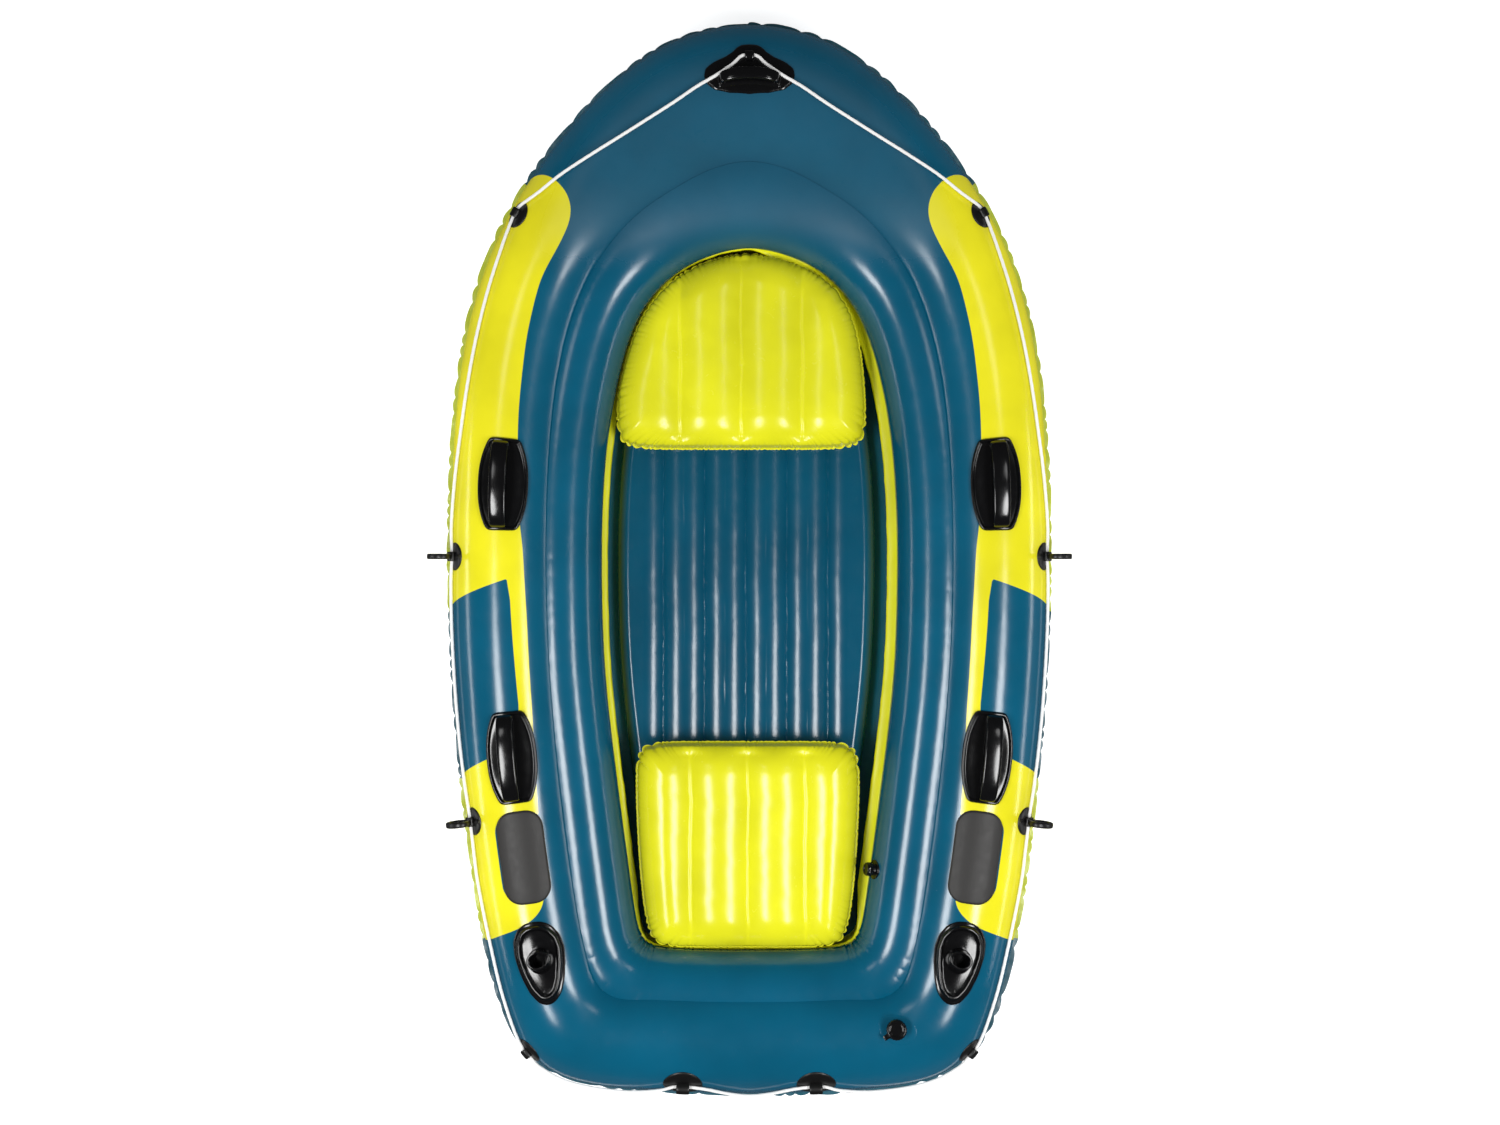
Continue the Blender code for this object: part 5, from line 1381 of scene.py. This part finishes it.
@dataclass
class RodHolders:
    """Two rod holders: an egg-shaped tray with a raised rim and a leaning tube."""

    shop: Workshop
    share: float = 0.8025
    length: float = 0.178
    width: float = 0.110
    rim_round: float = 0.0024
    foot: float = 0.027
    mouth: float = 0.0195
    bore: float = 0.0145
    height: float = 0.040
    tube_round: float = 0.003
    lean_deg: float = 12.0

    def build(self) -> None:
        """Add the holders."""
        loop = mirrored(np.array(ROD_PLATE_SHARES) * (self.length / 2, self.width / 2))
        profile = ((self.foot + 0.006, -0.002), (self.foot, 0.004), (self.mouth + 0.003, 0.018),
                   (self.mouth, self.height), (self.bore, self.height), (self.bore, 0.002))
        lean = math.tan(math.radians(self.lean_deg))
        for side in Side:
            tray = plate(smooth_loop(loop * (-side.value, 1), 240, 3),
                         rounded(ROD_RIM, self.rim_round), 5)
            tube = turned(rounded(profile, self.tube_round), 72)
            tube.points[:, 0] -= tube.points[:, 2] * lean * side.value
            self.shop.lay(f"rod_tray_{side.label}", joined(tray, tube), "gloss_rubber",
                          f"rod_holder_{side.label}", side.value * self.share * HALF)


@dataclass
class BowHandle:
    """The bow fitting: a flared plate, a cross grip in a well and the rope's eye."""

    shop: Workshop
    angle_deg: float = 78.0
    width: float = 0.192
    length: float = 0.112
    rim_round: float = 0.002
    grip: tuple[float, float] = (0.021, 0.0105)
    grip_length: float = 0.118
    grip_shift: float = 0.020
    grip_height: float = 0.032
    grip_sink: float = 0.005
    overrun: float = 0.06
    blunt: float = 0.42
    lean_in: float = 0.05
    collar: tuple[float, float] = (0.034, 0.006)
    collar_scale: tuple[float, float, float] = (1.12, 1, 0.10)
    collar_lift: float = 0.003
    eye: tuple[float, float] = (0.018, 0.0052)
    eye_shift: float = 0.023
    eye_radius: float = 0.0085
    eye_height: float = 0.0055

    def build(self) -> None:
        """Add the fitting."""
        loop = mirrored(np.array(BOW_PLATE_SHARES) * (self.length / 2, self.width / 2))[:, ::-1]
        base = plate(smooth_loop(loop, 240, 1), rounded(BOW_RIM, self.rim_round), 7)
        c, s, lift = arch(self.overrun, 48, self.blunt)
        path = np.column_stack([c * self.grip_length / 2 * (1 - self.lean_in * s * s),
                                np.full_like(c, -self.grip_shift),
                                lift * (self.grip_height - self.grip_sink)])
        grip = sweep(path, ACROSS, superellipse(*self.grip, 3.0, 28))
        collar = sweep(path * self.collar_scale + (0, 0, self.collar_lift), ACROSS,
                       superellipse(*self.collar, 2.5, 20))
        self.shop.lay("bow_fitting", joined(base, grip, collar, self.rope_eye()),
                      "gloss_rubber", "bow_handle", 0.0, self.angle_deg)

    def rope_eye(self) -> Shell:
        """Return the eye: an arch over the rope's bore, running along y."""
        c, s, _ = arch(0.12, 28)
        path = np.column_stack([np.zeros_like(c), self.eye_shift + self.eye_radius * c,
                                self.eye_radius * s + self.eye_height])
        return sweep(path, ALONG, superellipse(*self.eye, 3.2, 20))


@dataclass(frozen=True)
class GuideKind:
    """One kind of rope guide and its place on both sides."""

    label: str
    share: float
    angle_deg: float
    patch: tuple[float, float] = (0.060, 0.060)
    block: tuple[float, float] = (0.020, 0.017)
    ringed: bool = False


GUIDES = (
    GuideKind("bow", 0.1895, 40.0), GuideKind("front", 0.4585, 31.0, ringed=True),
    GuideKind("rear", 0.681, 35.0, ringed=True), GuideKind("corner", 0.8505, 28.0),
    GuideKind("stern", 0.9445, 45.0, (0.084, 0.078), (0.028, 0.024)),
)


@dataclass
class RopeGuides:
    """Ten rope guides; the four at the sides carry an oar ring."""

    shop: Workshop
    rim_round: float = 0.002
    bore: float = 0.0055
    bore_height: float = 0.009
    bridge_thick: float = 0.0048
    bridge_outer: float = 0.009
    bridge_gap: float = 0.0006
    bridge_crown: float = 0.0026
    ring_height: float = 0.036
    ring: float = 0.0205
    ring_section: tuple[float, float] = (0.0118, 0.009)
    rib: tuple[float, float] = (0.0016, 0.004)
    rib_heights: tuple[float, float] = (0.002, 0.0075)
    rib_corner: float = 0.0007
    rib_stretch: float = 4.2
    rib_place: float = -0.0165
    rib_pitch: float = 0.0052

    def bridge(self, kind: GuideKind) -> Shell:
        """Return the bridge over the rope, an arch round the bore."""
        length, height = kind.block
        c, s, _ = arch(0.14, 30)
        radius = (self.bore + self.bridge_outer) / 2 + self.bridge_gap
        lift = (height - self.bridge_crown - self.bore_height) / radius
        path = np.column_stack([np.zeros_like(c), radius * 1.12 * c,
                                self.bore_height + radius * s * np.where(s > 0, lift, 1.2)])
        return sweep(path, ALONG, superellipse(length, self.bridge_thick, 4.0, 24))

    def oar_ring(self) -> list[Shell]:
        """Return the ring on the bridge, and the three small ribs beside it."""
        t = full_turn(72)
        path = np.column_stack([np.zeros_like(t), self.ring * np.cos(t),
                                self.ring_height + self.ring * np.sin(t)])
        loop = sweep(path, ALONG, superellipse(*self.ring_section, 3.5, 24), closed=True)
        ribs = [block(self.rib, *self.rib_heights, self.rib_corner,
                      (0.0, self.rib_place - self.rib_pitch * k)) for k in range(3)]
        return [loop, *(rib.moved(lambda p: p * (self.rib_stretch, 1.0, 1.0)) for rib in ribs)]

    def build(self) -> None:
        """Add the guides on both sides."""
        for kind in GUIDES:
            disc = superellipse(*kind.patch, 2, 96)
            shells = [plate(disc, rounded(GUIDE_RIM, self.rim_round), 5), self.bridge(kind)]
            if kind.ringed:
                shells += self.oar_ring()
            node = f"{'oar_ring' if kind.ringed else 'rope_guide'}_{kind.label}"
            self.shop.pair(f"{node}_fitting", joined(*shells), "satin_rubber", node, kind.share,
                           kind.angle_deg, 55.0)


# The rope, between guides: share of the way to the next guide, and angle round the tube
ROPE_SPANS = {
    "bow": ((0.06, 76.0), (0.12, 82.0), (0.20, 86.0), (0.30, 89.0), (0.42, 88.0),
            (0.55, 83.5), (0.68, 75.0), (0.80, 64.0), (0.90, 54.0)),
    "front": ((0.08, 44.0), (0.20, 47.0), (0.34, 47.0), (0.48, 45.0), (0.62, 41.0),
              (0.76, 35.0), (0.90, 30.0)),
    "rear": ((0.10, 29.0), (0.27, 28.0), (0.46, 28.0), (0.66, 29.0), (0.84, 32.0)),
    "corner": ((0.12, 35.0), (0.28, 34.0), (0.45, 36.0), (0.62, 38.0), (0.79, 38.0),
               (0.92, 34.0)),
    "stern": ((0.10, 24.0), (0.24, 17.0), (0.40, 17.0), (0.60, 24.0), (0.80, 36.0)),
    "middle": ((0.18, 42.0), (0.34, 33.0), (0.50, 26.0)),
}


@dataclass
class GrabLine:
    """One rope right round the boat, through the bow eye and every guide."""

    shop: Workshop
    radius: float = 0.0035
    clear: float = 0.0045
    rest: float = 0.0076
    eye_shift: float = BowHandle.eye_shift
    eye_half: float = 0.010
    rows: int = 2400
    sides: int = 14
    strand_depth: float = 0.10
    strand_pitch: float = 0.0062

    def route(self) -> Array:
        """Return the closed route (n, 3): straight through each bore, free between them."""
        shape = self.shop.shape
        right = []
        stops = [(0.0, BowHandle.angle_deg, self.eye_half)]
        stops += [(kind.share * HALF, kind.angle_deg, kind.block[0] / 2) for kind in GUIDES]
        for number, (key, (place, angle, half)) in enumerate(zip(ROPE_SPANS, stops)):
            spot = Patch(shape, place, angle)
            shift = self.eye_shift if number == 0 else 0.0
            right += [spot.wrap(np.array([[end * (half + self.radius), shift, self.rest]]))[0]
                      for end in ((1,) if number == 0 else (-1, 1))]
            following = stops[number + 1][0] if number + 1 < len(stops) else PLACES - place
            for share, degrees in ROPE_SPANS[key]:
                section = shape.stations(np.array([place + share * (following - place)]))
                right.append(section.tube(np.array([[math.radians(degrees)]]),
                                          self.radius + self.clear)[0, 0])
        right = np.array(right)
        left = right[::-1] * (-1, 1, 1)
        return np.vstack([right, left[1:] if abs(right[-1, 0]) < 1e-5 else left])

    def build(self) -> None:
        """Add the rope with its strands raised a little and a UV along and round it."""
        points = self.route()
        t = np.linspace(0, 1, 12, endpoint=False)[:, None]
        p0, p1, p2, p3 = (np.roll(points, 1 - k, axis=0)[:, None] for k in range(4))
        curve = (2 * p1 + (p2 - p0) * t + (2 * p0 - 5 * p1 + 4 * p2 - p3) * t ** 2
                 + (3 * p1 - p0 - 3 * p2 + p3) * t ** 3) / 2
        path = resampled(curve.reshape(-1, 3), self.rows)
        run = unit(chord(path))
        side = unit(np.cross(run, UP))
        up = np.cross(side, run)
        step = np.linalg.norm(path[1] - path[0])
        s = (np.arange(len(path)) * step)[:, None]
        turn = full_turn(self.sides)[None]
        strand = 1 - self.strand_depth * (1 - np.abs(np.cos(1.5 * turn + s / self.strand_pitch)))
        reach = self.radius * strand
        grid = path[:, None] + reach[..., None] * (
            side[:, None] * np.cos(turn)[..., None] + up[:, None] * np.sin(turn)[..., None])
        piece = self.shop.add("grab_rope", torus(grid), "rope_yarn", "grab_line")
        layer = piece.data.uv_layers.new(name="route")
        index = np.empty(len(piece.data.loops), np.int64)
        piece.data.loops.foreach_get("vertex_index", index)
        uv = np.column_stack([(index // self.sides) * step, (index % self.sides) / self.sides])
        layer.data.foreach_set("uv", uv.astype(np.float32).ravel())


# Valves

@dataclass
class Valves:
    """The two hull valves that show."""

    shop: Workshop
    frame: dict
    share: float = 0.876
    angle_deg: float = 102.0
    flange: float = 0.072
    tab: tuple[float, float] = (0.020, 0.011)
    tab_heights: tuple[float, float] = (0.0165, 0.0205)
    tab_corner: float = 0.0015
    tab_reach: float = 0.0225
    tab_turn_deg: float = 275.0
    outer_cap: tuple[float, float, float, int] = (0.0222, 0.0161, 0.0266, 22)
    inner_cap: tuple[float, float, float, int] = (0.0150, 0.0074, 0.0213, 16)

    def joint_axes(self, name: str) -> tuple[Array, Array]:
        """Return a joint's place and axes in rows, with z along the joint."""
        for joint in self.frame["record"]["behaviour"]["joints"]:
            if joint["name"] == name:
                z = unit(np.array(joint["axis"], float))
                y = unit(np.array([z[1], -z[0], 0.0])) if abs(z[2]) < 0.999 else ALONG
                return np.array(joint["pos_m"], float), np.array([np.cross(y, z), y, z])
        raise ValueError(f"no joint {name}")

    def add(self, name: str, shell: Shell, axes: tuple, node: str, body: str) -> None:
        """Add a moulded piece of a valve, moved to its joint."""
        self.shop.add(name, self.placed(shell, axes), "gloss_rubber", node, body=body)

    @staticmethod
    def placed(shell: Shell, axes: tuple[Array, Array]) -> Shell:
        """Return a shell moved from its own axes to a joint's."""
        return shell.moved(lambda points: axes[0] + points @ axes[1])

    def build(self) -> None:
        """Add the outer chamber's valve and the inner chamber's valve."""
        spot = Patch(self.shop.shape, self.share * HALF, self.angle_deg)
        disc = superellipse(self.flange, self.flange, 2, 96)
        flange = plate(disc, rounded(VALVE_FLANGE, 0.001), 4).moved(spot.wrap)
        outer = self.joint_axes("main_valve_cap_turn")
        neck = self.placed(turned(rounded(OUTER_NECK, 0.0012)), outer)
        self.shop.add("outer_valve_seat", joined(flange, neck), "roll_film", "main_valve_base")
        self.add("outer_valve_insert", turned(rounded(OUTER_INSERT, 0.0008)), outer,
                 "main_valve_insert", "main_valve_insert")
        tab = block(self.tab, *self.tab_heights, self.tab_corner, (self.tab_reach, 0.0))
        turn = math.radians(self.tab_turn_deg)
        spin = np.array([[math.cos(turn), math.sin(turn), 0],
                         [-math.sin(turn), math.cos(turn), 0], [0, 0, 1]])
        cap = joined(self.ribbed_cap(*self.outer_cap), tab.moved(lambda p: p @ spin))
        self.add("outer_valve_cap", cap, outer, "main_valve_cap", "main_valve_cap")
        inner = self.joint_axes("inner_valve_cap_turn")
        self.add("inner_valve_seat", turned(rounded(INNER_NECK, 0.001)), inner,
                 "inner_valve_base", "hull")
        self.add("inner_valve_cap_piece", self.ribbed_cap(*self.inner_cap), inner,
                 "inner_valve_cap", "inner_valve_cap")

    @staticmethod
    def ribbed_cap(radius: float, low: float, high: float, ribs: int) -> Shell:
        """Return a screw cap with grip ribs round it and a shallow dish on top."""
        drop = high - low
        shell = turned(rounded(((radius * 0.9, low), (radius, low + drop * 0.10),
                                (radius, low + drop * 0.62), (radius * 0.86, high),
                                (radius * 0.66, high), (radius * 0.58, high - drop * 0.16),
                                (radius * 0.2, high - drop * 0.12)), drop * 0.14), ribs * 8)
        reach = np.hypot(shell.points[:, 0], shell.points[:, 1])
        turn = np.arctan2(shell.points[:, 1], shell.points[:, 0])
        side = smoothstep(reach / radius, 0.86, 0.12)
        grow = 1 - 0.045 * side * (0.5 - 0.5 * np.cos(turn * ribs))
        shell.points[:, :2] *= grow[:, None]
        return shell


def refinish(frame: dict, finishes: dict[str, bpy.types.Material]) -> None:
    """Give every CAD node that stays its own finish."""
    for name, node in frame["nodes"].items():
        material = finishes["roll_film" if name == "bottom_sheet" else "gloss_rubber"]
        for number in range(len(node.data.materials)):
            node.data.materials[number] = material
        if not node.data.materials:
            node.data.materials.append(material)


# The studio: each light's name, place at the right, size along and across, and watts
LIGHTS = (
    ("aft_strip", (1.85, -1.12, 3.5), (2.05, 0.88), 80.0),
    ("fore_strip", (1.85, 1.00, 3.5), (0.90, 0.60), 5.0),
    ("side", (3.3, -0.7, 0.50), (2.8, 0.26), 15.0),
)
WHITE = (1.0, 1.0, 1.0, 1.0)


@dataclass
class Studio:
    """The camera, a pale floor and soft lights."""

    camera_height: float = 4.325
    lens: float = 46.24
    sensor: float = 36.0
    centre: tuple[float, float] = (0.0011, 0.0044)
    aim_height: float = 0.1
    floor_half: float = 9.0
    floor_white: float = 0.93
    floor_mirrored: float = 0.04
    floor_glow: float = 0.6
    floor_glow_lost: float = 0.58
    sky: float = 0.30
    sky_seen: float = 0.70
    sky_lost: float = 0.27

    def build(self) -> None:
        """Add the camera, the floor, the lights and the world."""
        camera = shown("camera", bpy.data.cameras.new("camera"))
        camera.location = (*self.centre, self.camera_height)
        camera.data.lens = self.lens
        camera.data.sensor_width = self.sensor
        bpy.context.scene.camera = camera
        self.floor()
        for x in (-1, 1):
            for name, place, size, watts in LIGHTS:
                self.light(f"{name}_{x}", (x * place[0], *place[1:]), size, watts)
        world = bpy.data.worlds.new("studio")
        world.use_nodes = True
        g = Graph(world.node_tree)
        ray = g.add("ShaderNodeLightPath").outputs
        seen = g.maths("MULTIPLY", ray["Is Camera Ray"], self.sky_seen)
        mirrored_sky = g.maths("MULTIPLY", ray["Is Glossy Ray"], self.sky_lost)
        strength = g.maths("ADD", g.maths("SUBTRACT", seen, mirrored_sky), self.sky)
        g.wire(world.node_tree.nodes["Background"], {"Color": WHITE, "Strength": strength})
        bpy.context.scene.world = world
        bpy.context.scene.view_settings.view_transform = "Standard"

    def light(self, name: str, place: tuple, size: tuple, watts: float) -> None:
        """Add a soft light aimed at the boat, its size given along and across the boat."""
        data = bpy.data.lights.new(name, "AREA")
        data.shape = "ELLIPSE"
        data.size, data.size_y = size
        data.energy = watts
        lamp = shown(name, data)
        lamp.location = place
        aim = np.array((-place[0], 0.0, self.aim_height - place[2]))
        pitch = math.atan2(math.hypot(aim[0], aim[1]), -aim[2])
        lamp.rotation_euler = (pitch, 0.0, math.atan2(aim[1], aim[0]) - math.pi / 2)

    def floor(self) -> None:
        """Add the pale floor."""
        mesh = bpy.data.meshes.new("floor")
        half = self.floor_half
        mesh.from_pydata([(-half, -half, 0), (half, -half, 0), (half, half, 0), (-half, half, 0)],
                         [], [(0, 1, 2, 3)])
        material = bpy.data.materials.new("studio_floor")
        material.use_nodes = True
        g = Graph(material.node_tree)
        glossy = g.add("ShaderNodeLightPath").outputs["Is Glossy Ray"]
        white, dark = (self.floor_white,) * 3, (self.floor_mirrored,) * 3
        glow = g.maths("SUBTRACT", self.floor_glow,
                       g.maths("MULTIPLY", glossy, self.floor_glow_lost))
        g.wire(material.node_tree.nodes["Principled BSDF"], {
            "Base Color": g.mix(glossy, (*white, 1.0), (*dark, 1.0)), "Roughness": 0.9,
            "Emission Color": WHITE, "Emission Strength": glow})
        mesh.materials.append(material)
        shown("floor", mesh)


def main() -> None:
    """Load the frame, build every sub-assembly in order and report the pieces."""
    logging.basicConfig(level=logging.INFO, format="%(message)s")
    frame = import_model()
    groups = {Coat.FILM: film_group(), Coat.MOULDED: moulded_group(),
              Coat.BRAID: braid_group()}
    finishes = {finish.name: finish.build(groups) for finish in FINISHES}
    shop = Workshop(HullShape(), finishes)
    Studio().build()
    refinish(frame, finishes)
    Hull(shop).build()
    Cockpit(shop).build()
    for plan in SEATS:
        Seat(shop, plan).build()
    for fitting in (SideHandles, WearPads, RodHolders, BowHandle, RopeGuides, GrabLine):
        fitting(shop).build()
    Valves(shop, frame).build()


if __name__ == "__main__":
    main()
